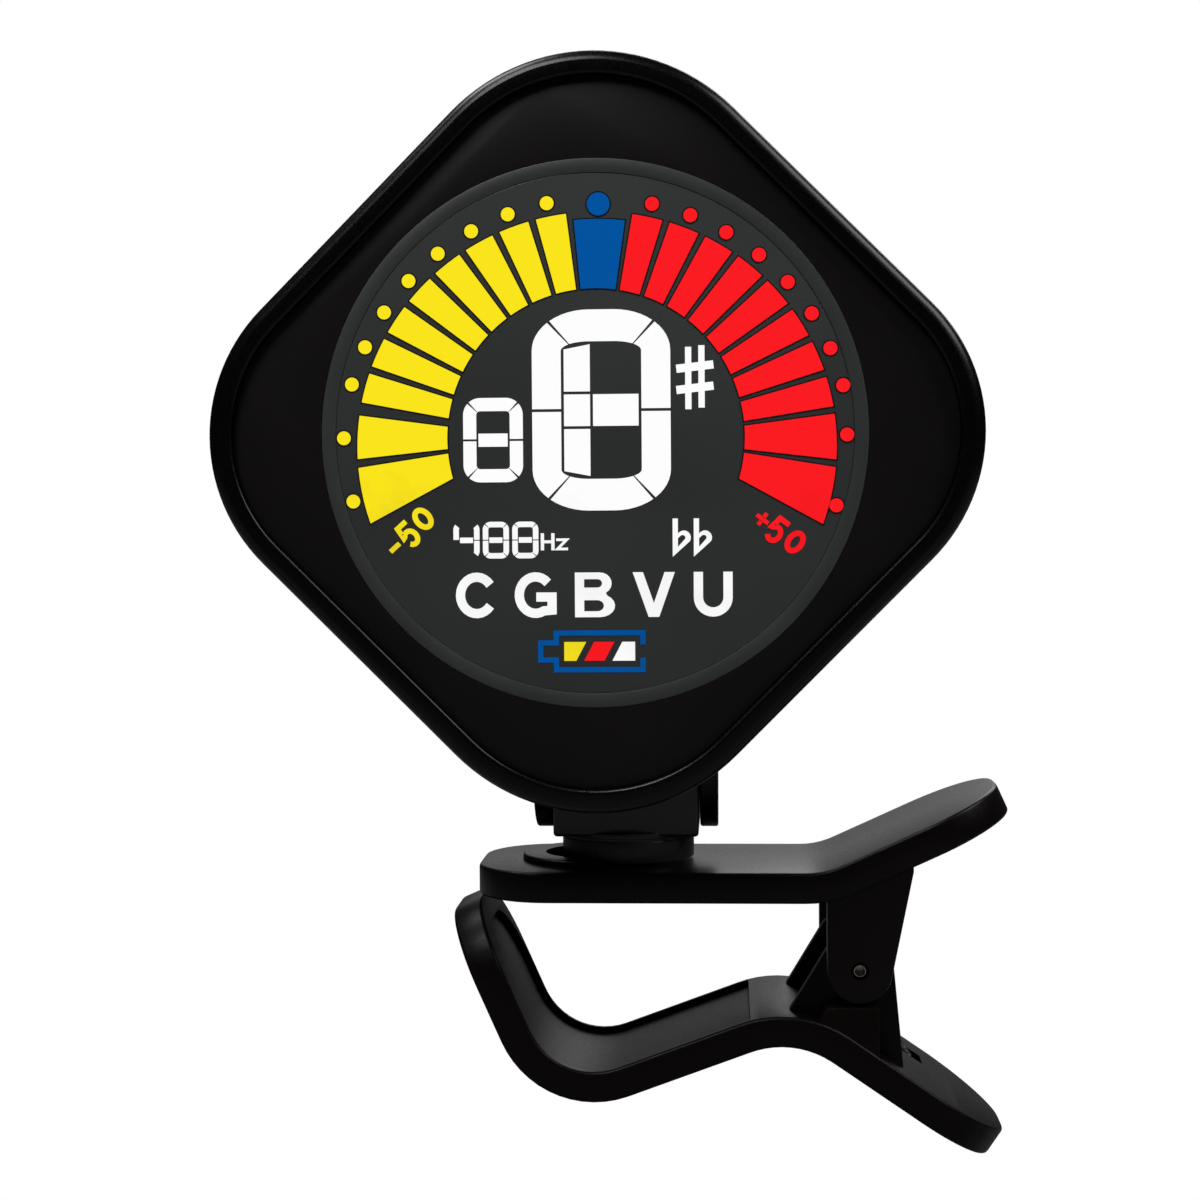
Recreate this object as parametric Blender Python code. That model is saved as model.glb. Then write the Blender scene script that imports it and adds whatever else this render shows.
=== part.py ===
"""Clip on tuner: a tilting, swivelling display head on a sprung clip.

Sizes are in millimetres and become metres when each mesh is made. The origin lies on the
clamping face of the upper jaw pad, under the neck: X runs along the clip towards the squeeze
tabs, the display faces -Y, and Z is up.
"""
import math

import bmesh
import bpy
from mathutils import Vector

MM = 0.001

# Clearances
GAP = 0.3
FINE_GAP = 0.22
SOLDER_GAP = 0.15

# Clip arms
ARM_WIDTH = 16.5
ARM_THICK = 2.5
TIP_ROUND = 6.0
TAB_ROUND = 7.0

UPPER_TIP_X = -12.3
UPPER_BEND_X = 16.35
UPPER_TAB_END_X = 30.9
UPPER_TAB_ANGLE = math.radians(24.5)
UPPER_BEND_R = 8.0

LOWER_TIP_X = -13.3
LOWER_TIP_DROP = 0.9
LOWER_JAW_ANGLE = math.radians(-66.0)
LOWER_JAW_DEPTH = 16.72
LOWER_RISE_ANGLE = math.radians(20.3)
LOWER_CREST_X = 13.75
LOWER_JAW_R = 6.9
LOWER_CREST_R = 8.5
LOWER_TAB_ANGLE = math.radians(-34.2)
LOWER_TAB_END_X = 30.25

# Pivot, ears and webs
PIVOT_X = 18.83
PIVOT_DROP = 5.4
PIN_R = 0.5
PIN_RECESS = 0.25
EAR_R = 2.6
EAR_THICK = 1.45
EAR_INSET = 0.15
EAR_ROOT_REACH = 4.3
WEB_R = 2.85
WEB_THICK = 1.4
WEB_SETBACK = 0.9
WEB_FRONT_X = 12.9
WEB_BACK_X = 22.6
LUG_BACK_X = 20.35
LUG_FRONT_X = 16.15

# Jaw pads
PAD_THICK = 0.5
PAD_MARGIN = 1.2
UPPER_PAD_END_X = 12.0
LIP_WIDTH = 0.6
LIP_HEIGHT = 0.6
LOWER_PAD_START = 2.2
LOWER_PAD_LENGTH = 30.2

# Torsion spring
SPRING_WIRE_R = 0.32
SPRING_COIL_R = 1.55
SPRING_TURNS = 6
SPRING_PITCH = 0.95
SPRING_LEG_REACH = 3.6
POCKET_LENGTH = 3.2
POCKET_WIDTH = 2.8
POCKET_DEPTH = 1.1
POCKET_REACH = 3.75

# Neck
NECK_R = 5.5
DRUM_HEIGHT = 2.1
SPIGOT_R = 2.3
KNUCKLE_R = 5.4
KNUCKLE_WIDTH = 11.9
KNUCKLE_FOOT = 4.8
TILT_Z = 10.4
TILT_PIN_R = 0.8
COLLAR_SHIFT = 2.95
COLLAR_R = 5.9
COLLAR_HEIGHT = 0.55
COLLAR_LIP = 1.9
WELL_R = 3.8
WELL_DEPTH = 0.6
RING_THICK = 0.3
RING_R = 3.9
SEAT_DEPTH = 1.1

# Head case
HEAD_SHIFT = 1.68
HEAD_CLEAR = 5.9
HEAD_APOTHEM = 24.9
SIDE_CORNER_R = 13.7
TOP_CORNER_R = 15.2
FACE_Y = -17.5
REAR_Y = -6.0
FRONT_SHELL_DEPTH = 4.5
RIM = 1.9
PANEL_DROP = 0.7
PANEL_THICK = 0.9
PANEL_LEDGE = 1.0
CASE_WALL = 1.6
REAR_WALL = 1.5
YOKE_WIDTH = 15.1
YOKE_R = 5.2
YOKE_ROOT = 5.2

# Display stack
DISPLAY_BORDER = 3.25
WINDOW_RING = 0.9
LCD_THICK = 1.2
DIFFUSER_THICK = 1.0
HOLDER_WALL = 1.6
STRIP_INSET = 2.05
STRIP_LENGTH = 12.0
STRIP_WIDTH = 1.0
BOARD_THICK = 1.0
BOARD_MARGIN = 2.9

# Case screws
SCREW_INSET = 4.55
SCREW_R = 0.8
SCREW_HEAD_R = 1.6
SCREW_HEAD_THICK = 0.8
BOSS_WALL = 1.2
SCREW_DEPTH = 2.2

# Battery
CELL_R = 10.0
CELL_THICK = 3.2
CELL_UP = 6.0
CAP_R = 12.0
CAP_THICK = 1.1
COIN_SLOT_LENGTH = 13.0
COIN_SLOT_WIDTH = 1.6
COIN_SLOT_DEPTH = 0.5
CONTACT_THICK = 0.2
CONTACT_LENGTH = 8.0
CONTACT_WIDTH = 3.0

# Buttons
BUTTON_R = 2.8
BUTTON_PROUD = 0.6
BUTTON_TRAVEL = 0.5
BUTTON_SPACING = 8.0
BUTTON_DROP = 11.2
FLANGE_THICK = 0.8
FLANGE_WIDTH = 0.8
SWITCH_SIZE = 4.0

# Board parts
CHIP_DROP = 1.0
CHIP_SHIFT = 15.5
CRYSTAL_DROP = 6.5
CRYSTAL_SHIFT = 14.5
PIEZO_SHIFT = 14.5
PIEZO_DROP = 4.0
CHIP_SIZE = 6.5
CHIP_HEIGHT = 1.0
CRYSTAL_LENGTH = 5.0
CRYSTAL_WIDTH = 2.2
PIEZO_R = 4.0
PIEZO_THICK = 0.4

HEAD_X = -HEAD_SHIFT
PIVOT_Z = -PIVOT_DROP
HOLE_R = PIN_R + FINE_GAP
TILT_HOLE_R = TILT_PIN_R + GAP
ARM_HALF = ARM_WIDTH / 2
HEAD_HALF_WIDTH = HEAD_APOTHEM * math.sqrt(2) - SIDE_CORNER_R * (math.sqrt(2) - 1)
HEAD_HALF_HEIGHT = HEAD_APOTHEM * math.sqrt(2) - TOP_CORNER_R * (math.sqrt(2) - 1)
HEAD_Z = ARM_THICK + HEAD_CLEAR + HEAD_HALF_HEIGHT
WINDOW_R = HEAD_APOTHEM - RIM - GAP - DISPLAY_BORDER
SPRING_LENGTH = SPRING_TURNS * SPRING_PITCH
PANEL_Y = FACE_Y + PANEL_DROP
STACK_Y = PANEL_Y + PANEL_THICK + GAP
SPLIT_Y = FACE_Y + FRONT_SHELL_DEPTH
INNER_REAR_Y = REAR_Y - REAR_WALL
CELL_Y = REAR_Y - CAP_THICK - GAP
CONTACT_Y = CELL_Y - CELL_THICK - GAP - CONTACT_THICK
BOARD_Y = CONTACT_Y - SOLDER_GAP - BOARD_THICK


def clear_scene():
    for obj in list(bpy.data.objects):
        bpy.data.objects.remove(obj, do_unlink=True)


def material(name, colour, roughness, metallic=0.0):
    """Principled material with a linear colour."""
    mat = bpy.data.materials.new(name)
    mat.use_nodes = True
    shader = mat.node_tree.nodes["Principled BSDF"]
    shader.inputs["Base Color"].default_value = (*colour, 1.0)
    shader.inputs["Roughness"].default_value = roughness
    shader.inputs["Metallic"].default_value = metallic
    return mat


# ---- shapes -------------------------------------------------------------------------------

def circle(x, z, radius, count=32):
    """Points of a circle, anticlockwise."""
    points = []
    for i in range(count):
        angle = 2 * math.pi * i / count
        points.append((x + radius * math.cos(angle), z + radius * math.sin(angle)))
    return points


def hull(points):
    """Convex outline round a set of points."""
    ordered = sorted(set((round(x, 6), round(z, 6)) for x, z in points))

    def half(sequence):
        chain = []
        for p in sequence:
            while len(chain) > 1:
                a, b = chain[-2], chain[-1]
                if (b[0] - a[0]) * (p[1] - a[1]) - (b[1] - a[1]) * (p[0] - a[0]) > 1e-9:
                    break
                chain.pop()
            chain.append(p)
        return chain[:-1]

    return half(ordered) + half(reversed(ordered))


def head_outline(inset=0.0, count=10):
    """Rounded square on its corner, moved in from the case's outer edge by an inset."""
    apothem = HEAD_APOTHEM - inset
    points = []
    for quarter, radius in enumerate((SIDE_CORNER_R, TOP_CORNER_R, SIDE_CORNER_R, TOP_CORNER_R)):
        r = max(radius - inset, 1.0)
        reach = (apothem - r) * math.sqrt(2)
        middle = quarter * math.pi / 2
        cx, cz = reach * math.cos(middle), reach * math.sin(middle)
        for i in range(count + 1):
            angle = middle - math.pi / 4 + math.pi / 2 * i / count
            points.append((HEAD_X + cx + r * math.cos(angle), HEAD_Z + cz + r * math.sin(angle)))
    return points


AXES = {
    "X": lambda a, b, t: (t, a, b),
    "Y": lambda a, b, t: (a, t, b),
    "Z": lambda a, b, t: (a, b, t),
}


def prism(outline, axis, low, high):
    """Straight solid: an outline in the two other axes, run from low to high along an axis."""
    place = AXES[axis]
    bm = bmesh.new()
    rings = []
    for t in (low, high):
        rings.append([bm.verts.new(place(a, b, t)) for a, b in outline])
    bm.faces.new(rings[0])
    bm.faces.new(list(reversed(rings[1])))
    count = len(outline)
    for i in range(count):
        j = (i + 1) % count
        bm.faces.new((rings[0][i], rings[1][i], rings[1][j], rings[0][j]))
    bmesh.ops.recalc_face_normals(bm, faces=bm.faces)
    return bm


def box(x0, x1, y0, y1, z0, z1):
    return prism([(x0, y0), (x1, y0), (x1, y1), (x0, y1)], "Z", z0, z1)


def disc(axis, a, b, radius, low, high, count=40):
    return prism(circle(a, b, radius, count), axis, low, high)


def turned(profile, axis, a, b, count=40):
    """Solid of revolution: (radius, distance) points round an axis through (a, b)."""
    place = AXES[axis]
    bm = bmesh.new()
    rings = []
    for radius, t in profile:
        if radius == 0:
            rings.append([bm.verts.new(place(a, b, t))])
            continue
        rings.append([bm.verts.new(place(p, q, t)) for p, q in circle(a, b, radius, count)])
    closed = profile[0][0] > 0
    pairs = list(zip(rings, rings[1:]))
    if closed:
        pairs.append((rings[-1], rings[0]))
    for lower, upper in pairs:
        for i in range(count):
            j = (i + 1) % count
            if len(lower) == 1:
                bm.faces.new((lower[0], upper[i], upper[j]))
            elif len(upper) == 1:
                bm.faces.new((lower[i], upper[0], lower[j]))
            else:
                bm.faces.new((lower[i], upper[i], upper[j], lower[j]))
    bmesh.ops.recalc_face_normals(bm, faces=bm.faces)
    return bm


def solid(name, bm, mat=None, origin=(0, 0, 0), smooth=False):
    """Object from a bmesh in millimetres, with its origin at a point in millimetres."""
    offset = Vector(origin)
    for v in bm.verts:
        v.co = (v.co - offset) * MM
    mesh = bpy.data.meshes.new(name)
    bm.to_mesh(mesh)
    bm.free()
    obj = bpy.data.objects.new(name, mesh)
    bpy.context.scene.collection.objects.link(obj)
    obj.location = offset * MM
    if mat:
        mesh.materials.append(mat)
    if smooth:
        mesh.shade_smooth()
        mesh.set_sharp_from_angle(angle=math.radians(35))
    return obj


def combine(target, operation, bm, label):
    """Boolean with a hidden guide solid."""
    guide = solid(target.name + "_" + label, bm)
    guide.hide_render = True
    guide.display_type = "WIRE"
    mod = target.modifiers.new(label, "BOOLEAN")
    mod.operation = operation
    mod.solver = "EXACT"
    mod.object = guide


def cut(target, bm, label):
    combine(target, "DIFFERENCE", bm, label)


def add(target, bm, label):
    combine(target, "UNION", bm, label)


# ---- bent plates --------------------------------------------------------------------------

class Path:
    """Side line of a bent plate: straight runs joined by round bends."""

    def __init__(self, corners, radii, step=1.1):
        points = [Vector(c) for c in corners]
        pieces = []
        start = points[0]
        for i, radius in enumerate(radii, 1):
            before = (points[i] - points[i - 1]).normalized()
            after = (points[i + 1] - points[i]).normalized()
            turn = math.atan2(before.cross(after), before.dot(after))
            run = radius * math.tan(abs(turn) / 2)
            pieces.append(("line", start, points[i] - before * run))
            pieces.append(("arc", points[i] - before * run, before, turn, radius))
            start = points[i] + after * run
        pieces.append(("line", start, points[-1]))
        self.samples = []
        travelled = 0.0
        for piece in pieces:
            if piece[0] == "line":
                a, b = piece[1], piece[2]
                length = (b - a).length
                heading = (b - a).normalized()
                for k in (0.0, 1.0):
                    self.samples.append((travelled + length * k, a + heading * length * k, heading))
            else:
                _, a, before, turn, radius = piece
                side = 1 if turn > 0 else -1
                centre = a + Vector((-before.y, before.x)) * radius * side
                length = abs(turn) * radius
                count = max(4, int(length / step))
                for k in range(1, count):
                    angle = turn * k / count
                    c, s = math.cos(angle), math.sin(angle)
                    arm = a - centre
                    place = centre + Vector((arm.x * c - arm.y * s, arm.x * s + arm.y * c))
                    heading = Vector((before.x * c - before.y * s, before.x * s + before.y * c))
                    self.samples.append((travelled + length * k / count, place, heading))
            travelled += length
        self.length = travelled

    def at(self, s):
        """Point and heading at a distance along the line."""
        rows = self.samples
        if s <= rows[0][0]:
            return rows[0][1] + rows[0][2] * (s - rows[0][0]), rows[0][2]
        for low, high in zip(rows, rows[1:]):
            if low[0] <= s <= high[0] and high[0] > low[0]:
                k = (s - low[0]) / (high[0] - low[0])
                return low[1].lerp(high[1], k), low[2].lerp(high[2], k).normalized()
        return rows[-1][1] + rows[-1][2] * (s - rows[-1][0]), rows[-1][2]

    def stations(self, low, high):
        values = {round(low, 4), round(high, 4)}
        for s, _, _ in self.samples:
            if low < s < high:
                values.add(round(s, 4))
        return values


def bent_plate(path, low, high, down, up, half_width, extra=(), middle_y=0.0):
    """Plate that follows a path, between two offsets from it, with a width rule."""
    values = path.stations(low, high)
    for s in extra:
        if low < s < high:
            values.add(round(s, 4))
    ordered = sorted(values)
    kept = [ordered[0]]
    for s in ordered[1:]:
        if s - kept[-1] > 0.05:
            kept.append(s)
    kept[-1] = ordered[-1]
    bm = bmesh.new()
    rings = []
    for s in kept:
        place, heading = path.at(s)
        normal = Vector((-heading.y, heading.x))
        w = half_width(s)
        ring = []
        for y, t in ((-w, down), (w, down), (w, up), (-w, up)):
            p = place + normal * t
            ring.append(bm.verts.new((p.x, y + middle_y, p.y)))
        rings.append(ring)
    bm.faces.new(rings[0])
    bm.faces.new(list(reversed(rings[-1])))
    for one, two in zip(rings, rings[1:]):
        for i in range(4):
            j = (i + 1) % 4
            bm.faces.new((one[i], two[i], two[j], one[j]))
    bmesh.ops.recalc_face_normals(bm, faces=bm.faces)
    return bm


def round_start(s, start, half, radius):
    """Half width near a rounded end that begins at a distance along the path."""
    run = s - start
    if run >= radius:
        return half
    return half - radius + math.sqrt(max(radius ** 2 - (radius - run) ** 2, 0.0))


def round_stations(start, radius, count=8):
    return [start + radius * (1 - math.cos(math.pi / 2 * k / count)) for k in range(1, count + 1)]


def arm_half_width(path):
    """Width rule of an arm: rounded jaw tip, even width, rounded tab."""
    def rule(s):
        half = round_start(s, 0.0, ARM_HALF, TIP_ROUND)
        return min(half, round_start(path.length - s, 0.0, ARM_HALF, TAB_ROUND))
    return rule


def arm_stations(path):
    tab = [path.length - s for s in round_stations(0.0, TAB_ROUND)]
    return round_stations(0.0, TIP_ROUND) + tab


def upper_path():
    middle = ARM_THICK / 2
    rise = (UPPER_TAB_END_X - UPPER_BEND_X) * math.tan(UPPER_TAB_ANGLE)
    return Path(
        [(UPPER_TIP_X, middle), (UPPER_BEND_X, middle), (UPPER_TAB_END_X, middle + rise)],
        [UPPER_BEND_R],
    )


def lower_path():
    jaw_x = LOWER_TIP_X + (LOWER_JAW_DEPTH - LOWER_TIP_DROP) / math.tan(-LOWER_JAW_ANGLE)
    crest_z = -LOWER_JAW_DEPTH + (LOWER_CREST_X - jaw_x) * math.tan(LOWER_RISE_ANGLE)
    end_z = crest_z + (LOWER_TAB_END_X - LOWER_CREST_X) * math.tan(LOWER_TAB_ANGLE)
    return Path(
        [(LOWER_TIP_X, -LOWER_TIP_DROP), (jaw_x, -LOWER_JAW_DEPTH),
         (LOWER_CREST_X, crest_z), (LOWER_TAB_END_X, end_z)],
        [LOWER_JAW_R, LOWER_CREST_R],
    )


def path_height(path, x, offset=0.0):
    """Height of a surface parallel to a path at a place along X."""
    low, high = 0.0, path.length
    for _ in range(40):
        middle = (low + high) / 2
        place, heading = path.at(middle)
        if place.x - heading.y * offset < x:
            low = middle
        else:
            high = middle
    place, heading = path.at(low)
    return place.y + heading.x * offset


# ---- clip ---------------------------------------------------------------------------------

def mirrored_bands(inner, outer):
    return ((-outer, -inner), (inner, outer))


EAR_OUTER = ARM_HALF - EAR_INSET
EAR_INNER = EAR_OUTER - EAR_THICK
WEB_OUTER = EAR_INNER - WEB_SETBACK
WEB_INNER = WEB_OUTER - WEB_THICK


def build_upper_arm(mat):
    """Upper jaw and tab in one moulding, with two ears for the pivot pin."""
    path = upper_path()
    arm = solid("upper_arm", bent_plate(
        path, 0.0, path.length, -ARM_THICK / 2, ARM_THICK / 2,
        arm_half_width(path), arm_stations(path)), mat)
    root = ARM_THICK * 0.5
    ear = hull(circle(PIVOT_X, PIVOT_Z, EAR_R, 40) + [
        (PIVOT_X - EAR_R, root),
        (PIVOT_X + EAR_ROOT_REACH, path_height(path, PIVOT_X + EAR_ROOT_REACH)),
    ])
    for n, (low, high) in enumerate(mirrored_bands(EAR_INNER, EAR_OUTER)):
        add(arm, prism(ear, "Y", low, high), f"ear_{n}")
    cut(arm, disc("Y", PIVOT_X, PIVOT_Z, HOLE_R, -ARM_WIDTH, ARM_WIDTH, 24), "pivot_hole")
    top = ARM_THICK
    collar = hull(circle(-COLLAR_SHIFT, 0, COLLAR_R, 40) + circle(0, 0, COLLAR_R, 40))
    add(arm, prism(collar, "Z", top - 0.4, top + COLLAR_HEIGHT), "collar")
    well_x = -COLLAR_SHIFT - COLLAR_R + COLLAR_LIP + WELL_R
    cut(arm, disc("Z", 0, 0, NECK_R + GAP, top, top + 2), "drum_seat")
    cut(arm, box(-COLLAR_LIP, 2 * COLLAR_R, -COLLAR_R - 1, COLLAR_R + 1, top, top + 2), "collar_end")
    cut(arm, disc("Z", well_x, 0, WELL_R, top - WELL_DEPTH, top + 2), "well")
    cut(arm, disc("Z", 0, 0, SPIGOT_R + GAP, -1, top + 2, 32), "spigot_hole")
    cut(arm, disc("Z", 0, 0, RING_R + GAP, -1, ARM_THICK - SEAT_DEPTH), "ring_seat")
    low, high = pad_ends()
    cut(arm, prism(pad_outline(low - GAP, high + GAP, GAP), "Z", -1, PAD_THICK + GAP), "pad_seat")
    return arm


def pad_ends():
    return UPPER_TIP_X + PAD_MARGIN, UPPER_PAD_END_X


def pad_outline(low, high, grow=0.0):
    """Outline of the upper pad: round at the jaw tip, square at the pivot end."""
    half = ARM_HALF - PAD_MARGIN + grow
    radius = TIP_ROUND - PAD_MARGIN + grow
    points = [(high, -half), (high, half)]
    for k in range(9):
        angle = math.pi / 2 * k / 8
        points.append((low + radius - radius * math.sin(angle),
                       half - radius + radius * math.cos(angle)))
    for k in range(9):
        angle = math.pi / 2 * k / 8
        points.append((low + radius - radius * math.cos(angle),
                       -half + radius - radius * math.sin(angle)))
    return points


def build_upper_pad(mat):
    """Soft pad let into the underside of the upper jaw."""
    low, high = pad_ends()
    return solid("upper_jaw_pad", prism(pad_outline(low, high), "Z", 0.0, PAD_THICK), mat)


def build_lower_arm(mat, pivot):
    """Curved lower jaw and tab with two webs and two lugs at the pivot."""
    path = lower_path()
    arm = solid("lower_arm", bent_plate(
        path, 0.0, path.length, -ARM_THICK / 2, ARM_THICK / 2,
        arm_half_width(path), arm_stations(path)), mat, pivot)
    web = hull(circle(PIVOT_X, PIVOT_Z, WEB_R, 40) + [
        (WEB_FRONT_X, path_height(path, WEB_FRONT_X)),
        (WEB_BACK_X, path_height(path, WEB_BACK_X)),
    ])
    for n, (low, high) in enumerate(mirrored_bands(WEB_INNER, WEB_OUTER)):
        add(arm, prism(web, "Y", low, high), f"web_{n}")
    lug_top = PIVOT_Z - EAR_R - GAP
    lug = [
        (LUG_FRONT_X - 1.0, path_height(path, LUG_FRONT_X - 1.0)),
        (LUG_BACK_X, path_height(path, LUG_BACK_X)),
        (LUG_BACK_X, lug_top),
        (LUG_FRONT_X, lug_top),
    ]
    for n, (low, high) in enumerate(mirrored_bands(WEB_OUTER - 0.1, EAR_OUTER)):
        add(arm, prism(lug, "Y", low, high), f"lug_{n}")
    cut(arm, disc("Y", PIVOT_X, PIVOT_Z, HOLE_R, -ARM_WIDTH, ARM_WIDTH, 24), "pivot_hole")
    start, end = LOWER_PAD_START, LOWER_PAD_START + LOWER_PAD_LENGTH
    floor = ARM_THICK / 2 - LIP_HEIGHT - PAD_THICK - GAP
    cut(arm, bent_plate(path, start - GAP, end + GAP, floor, ARM_THICK / 2 + 2.0,
                        channel_half_width(GAP), channel_stations()), "pad_channel")
    place, heading = pocket_place(path)
    cut(arm, bent_plate(path, place - POCKET_LENGTH / 2, place + POCKET_LENGTH / 2,
                        ARM_THICK / 2 - POCKET_DEPTH, ARM_THICK / 2 + 1.0,
                        lambda s: POCKET_WIDTH / 2, middle_y=SPRING_LENGTH / 2), "spring_pocket")
    return arm


def channel_half_width(grow):
    """Width rule of the pad channel: it narrows to a round nose at the jaw tip."""
    half = ARM_HALF - LIP_WIDTH - GAP
    radius = TIP_ROUND + 0.4

    def rule(s):
        return round_start(s, LOWER_PAD_START, half, radius) + grow
    return rule


def channel_stations():
    return round_stations(LOWER_PAD_START, TIP_ROUND + 0.4)


def build_lower_pad(mat, pivot):
    """Soft pad in the channel of the lower jaw."""
    path = lower_path()
    top = ARM_THICK / 2 - LIP_HEIGHT
    return solid("lower_jaw_pad", bent_plate(
        path, LOWER_PAD_START, LOWER_PAD_START + LOWER_PAD_LENGTH,
        top - PAD_THICK, top, channel_half_width(0.0), channel_stations()), mat, pivot)


def build_pivot_pin(mat):
    """Steel pin through the ears and the webs."""
    reach = EAR_OUTER - PIN_RECESS
    return solid("pivot_pin", disc("Y", PIVOT_X, PIVOT_Z, PIN_R, -reach, reach, 24), mat,
                 (PIVOT_X, 0, PIVOT_Z), smooth=True)


def pocket_place(path):
    """Distance along the lower arm of the pocket that holds the spring's lower leg."""
    target = PIVOT_X + POCKET_REACH
    low, high = 0.0, path.length
    for _ in range(40):
        middle = (low + high) / 2
        if path.at(middle)[0].x < target:
            low = middle
        else:
            high = middle
    return low, path.at(low)[1]


def build_spring(mat):
    """Double-ended torsion spring round the pin, one leg under each tab."""
    upper = upper_path()
    lower = lower_path()
    length = SPRING_LENGTH
    rest = SPRING_WIRE_R + GAP
    up_x = PIVOT_X + SPRING_LEG_REACH
    up_z = path_height(upper, up_x, -ARM_THICK / 2) - rest
    place, heading = pocket_place(lower)
    base, _ = lower.at(place + POCKET_LENGTH / 2 - 2 * SPRING_WIRE_R - GAP)
    normal = Vector((-heading.y, heading.x))
    foot = base + normal * (ARM_THICK / 2 - POCKET_DEPTH + rest)
    start_angle = math.atan2(up_z - PIVOT_Z, up_x - PIVOT_X) + math.pi / 2
    end_angle = math.atan2(foot.y - PIVOT_Z, foot.x - PIVOT_X) - math.pi / 2
    sweep = 2 * math.pi * SPRING_TURNS + (end_angle - start_angle) % (2 * math.pi)
    count = SPRING_TURNS * 14
    points = [(up_x, -length / 2, up_z)]
    for k in range(count + 1):
        angle = start_angle + sweep * k / count
        points.append((PIVOT_X + SPRING_COIL_R * math.cos(angle),
                       length * k / count - length / 2,
                       PIVOT_Z + SPRING_COIL_R * math.sin(angle)))
    points.append((foot.x, length / 2, foot.y))
    curve = bpy.data.curves.new("torsion_spring", "CURVE")
    curve.dimensions = "3D"
    curve.bevel_depth = SPRING_WIRE_R * MM
    curve.bevel_resolution = 2
    curve.use_fill_caps = True
    spline = curve.splines.new("POLY")
    spline.points.add(len(points) - 1)
    for target, (x, y, z) in zip(spline.points, points):
        target.co = ((x - PIVOT_X) * MM, y * MM, (z - PIVOT_Z) * MM, 1.0)
    curve.materials.append(mat)
    obj = bpy.data.objects.new("torsion_spring", curve)
    obj.location = (PIVOT_X * MM, 0, PIVOT_Z * MM)
    bpy.context.scene.collection.objects.link(obj)
    return obj


# ---- neck ---------------------------------------------------------------------------------

def build_neck(mat):
    """Swivel drum with a spigot below and a tilt knuckle above."""
    floor = ARM_THICK + GAP
    seat = ARM_THICK - SEAT_DEPTH
    spigot_end = seat - GAP - RING_THICK - 0.1
    drum_top = floor + DRUM_HEIGHT + 0.3
    neck = solid("swivel_neck", disc("Z", 0, 0, NECK_R, floor, drum_top, 48), mat, smooth=True)
    add(neck, disc("Z", 0, 0, SPIGOT_R, spigot_end, floor + 0.5, 32), "spigot")
    knuckle = hull(circle(0, TILT_Z, KNUCKLE_R, 40) + [
        (-KNUCKLE_FOOT, floor + DRUM_HEIGHT), (KNUCKLE_FOOT, floor + DRUM_HEIGHT)])
    half = KNUCKLE_WIDTH / 2
    add(neck, prism(knuckle, "X", -half, half), "knuckle")
    cut(neck, disc("X", 0, TILT_Z, TILT_HOLE_R, -YOKE_WIDTH, YOKE_WIDTH, 24), "tilt_hole")
    return neck


def build_retaining_ring(mat):
    """Spring-steel ring that holds the spigot in the upper arm."""
    top = ARM_THICK - SEAT_DEPTH - GAP
    low = top - RING_THICK
    inner = SPIGOT_R + FINE_GAP
    return solid("neck_retaining_ring", turned(
        [(inner, low), (RING_R, low), (RING_R, top), (inner, top)], "Z", 0, 0), mat, smooth=True)


def build_tilt_pin(mat):
    """Pin of the tilt hinge, flush with the yoke's ears."""
    reach = YOKE_WIDTH / 2 - 0.15
    return solid("tilt_pin", disc("X", 0, TILT_Z, TILT_PIN_R, -reach, reach, 24), mat,
                 (0, 0, TILT_Z), smooth=True)


# ---- head ---------------------------------------------------------------------------------

def screw_places():
    """Four case screws, one in each rounded corner."""
    places = []
    for quarter in range(4):
        angle = quarter * math.pi / 2
        reach = (HEAD_HALF_WIDTH, HEAD_HALF_HEIGHT)[quarter % 2] - SCREW_INSET
        places.append((HEAD_X + reach * math.cos(angle), HEAD_Z + reach * math.sin(angle)))
    return places


def button_places():
    return [(HEAD_X + BUTTON_SPACING * k, HEAD_Z - BUTTON_DROP) for k in (-1, 0, 1)]


def build_front_shell(mat, tilt):
    """Front half of the case: raised rim, ledge for the face panel and four screw bosses."""
    shell = solid("front_shell", prism(head_outline(), "Y", FACE_Y, SPLIT_Y), mat, tilt)
    cut(shell, prism(head_outline(RIM), "Y", FACE_Y - 1, STACK_Y - GAP + GAP), "panel_seat")
    cut(shell, prism(head_outline(RIM + PANEL_LEDGE), "Y", FACE_Y, SPLIT_Y + 1), "opening")
    boss = SCREW_R + GAP + BOSS_WALL
    for n, (x, z) in enumerate(screw_places()):
        add(shell, disc("Y", x, z, boss, STACK_Y, SPLIT_Y, 24), f"boss_{n}")
        cut(shell, disc("Y", x, z, SCREW_R + FINE_GAP, SPLIT_Y - SCREW_DEPTH + 0.4, SPLIT_Y + 1, 20),
            f"screw_hole_{n}")
    return shell


def build_face_panel(mat, tilt):
    """Recessed face plate with a round opening for the display."""
    back = PANEL_Y + PANEL_THICK
    panel = solid("face_panel", prism(head_outline(RIM + GAP), "Y", PANEL_Y, back), mat, tilt)
    hole = WINDOW_R + WINDOW_RING + 2 * GAP
    cut(panel, disc("Y", HEAD_X, HEAD_Z, hole, PANEL_Y - 1, back + 1, 64), "window_hole")
    return panel


def build_window_ring(mat, tilt):
    """Narrow trim ring round the display window."""
    inner = WINDOW_R + GAP
    outer = inner + WINDOW_RING
    back = PANEL_Y + PANEL_THICK
    return solid("window_ring", turned(
        [(inner, PANEL_Y), (outer, PANEL_Y), (outer, back), (inner, back)],
        "Y", HEAD_X, HEAD_Z, 64), mat, tilt, smooth=True)


def stack_disc(name, radius, low, thickness, mat, tilt, count=56):
    return solid(name, disc("Y", HEAD_X, HEAD_Z, radius, low, low + thickness, count), mat, tilt,
                 smooth=True)


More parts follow.
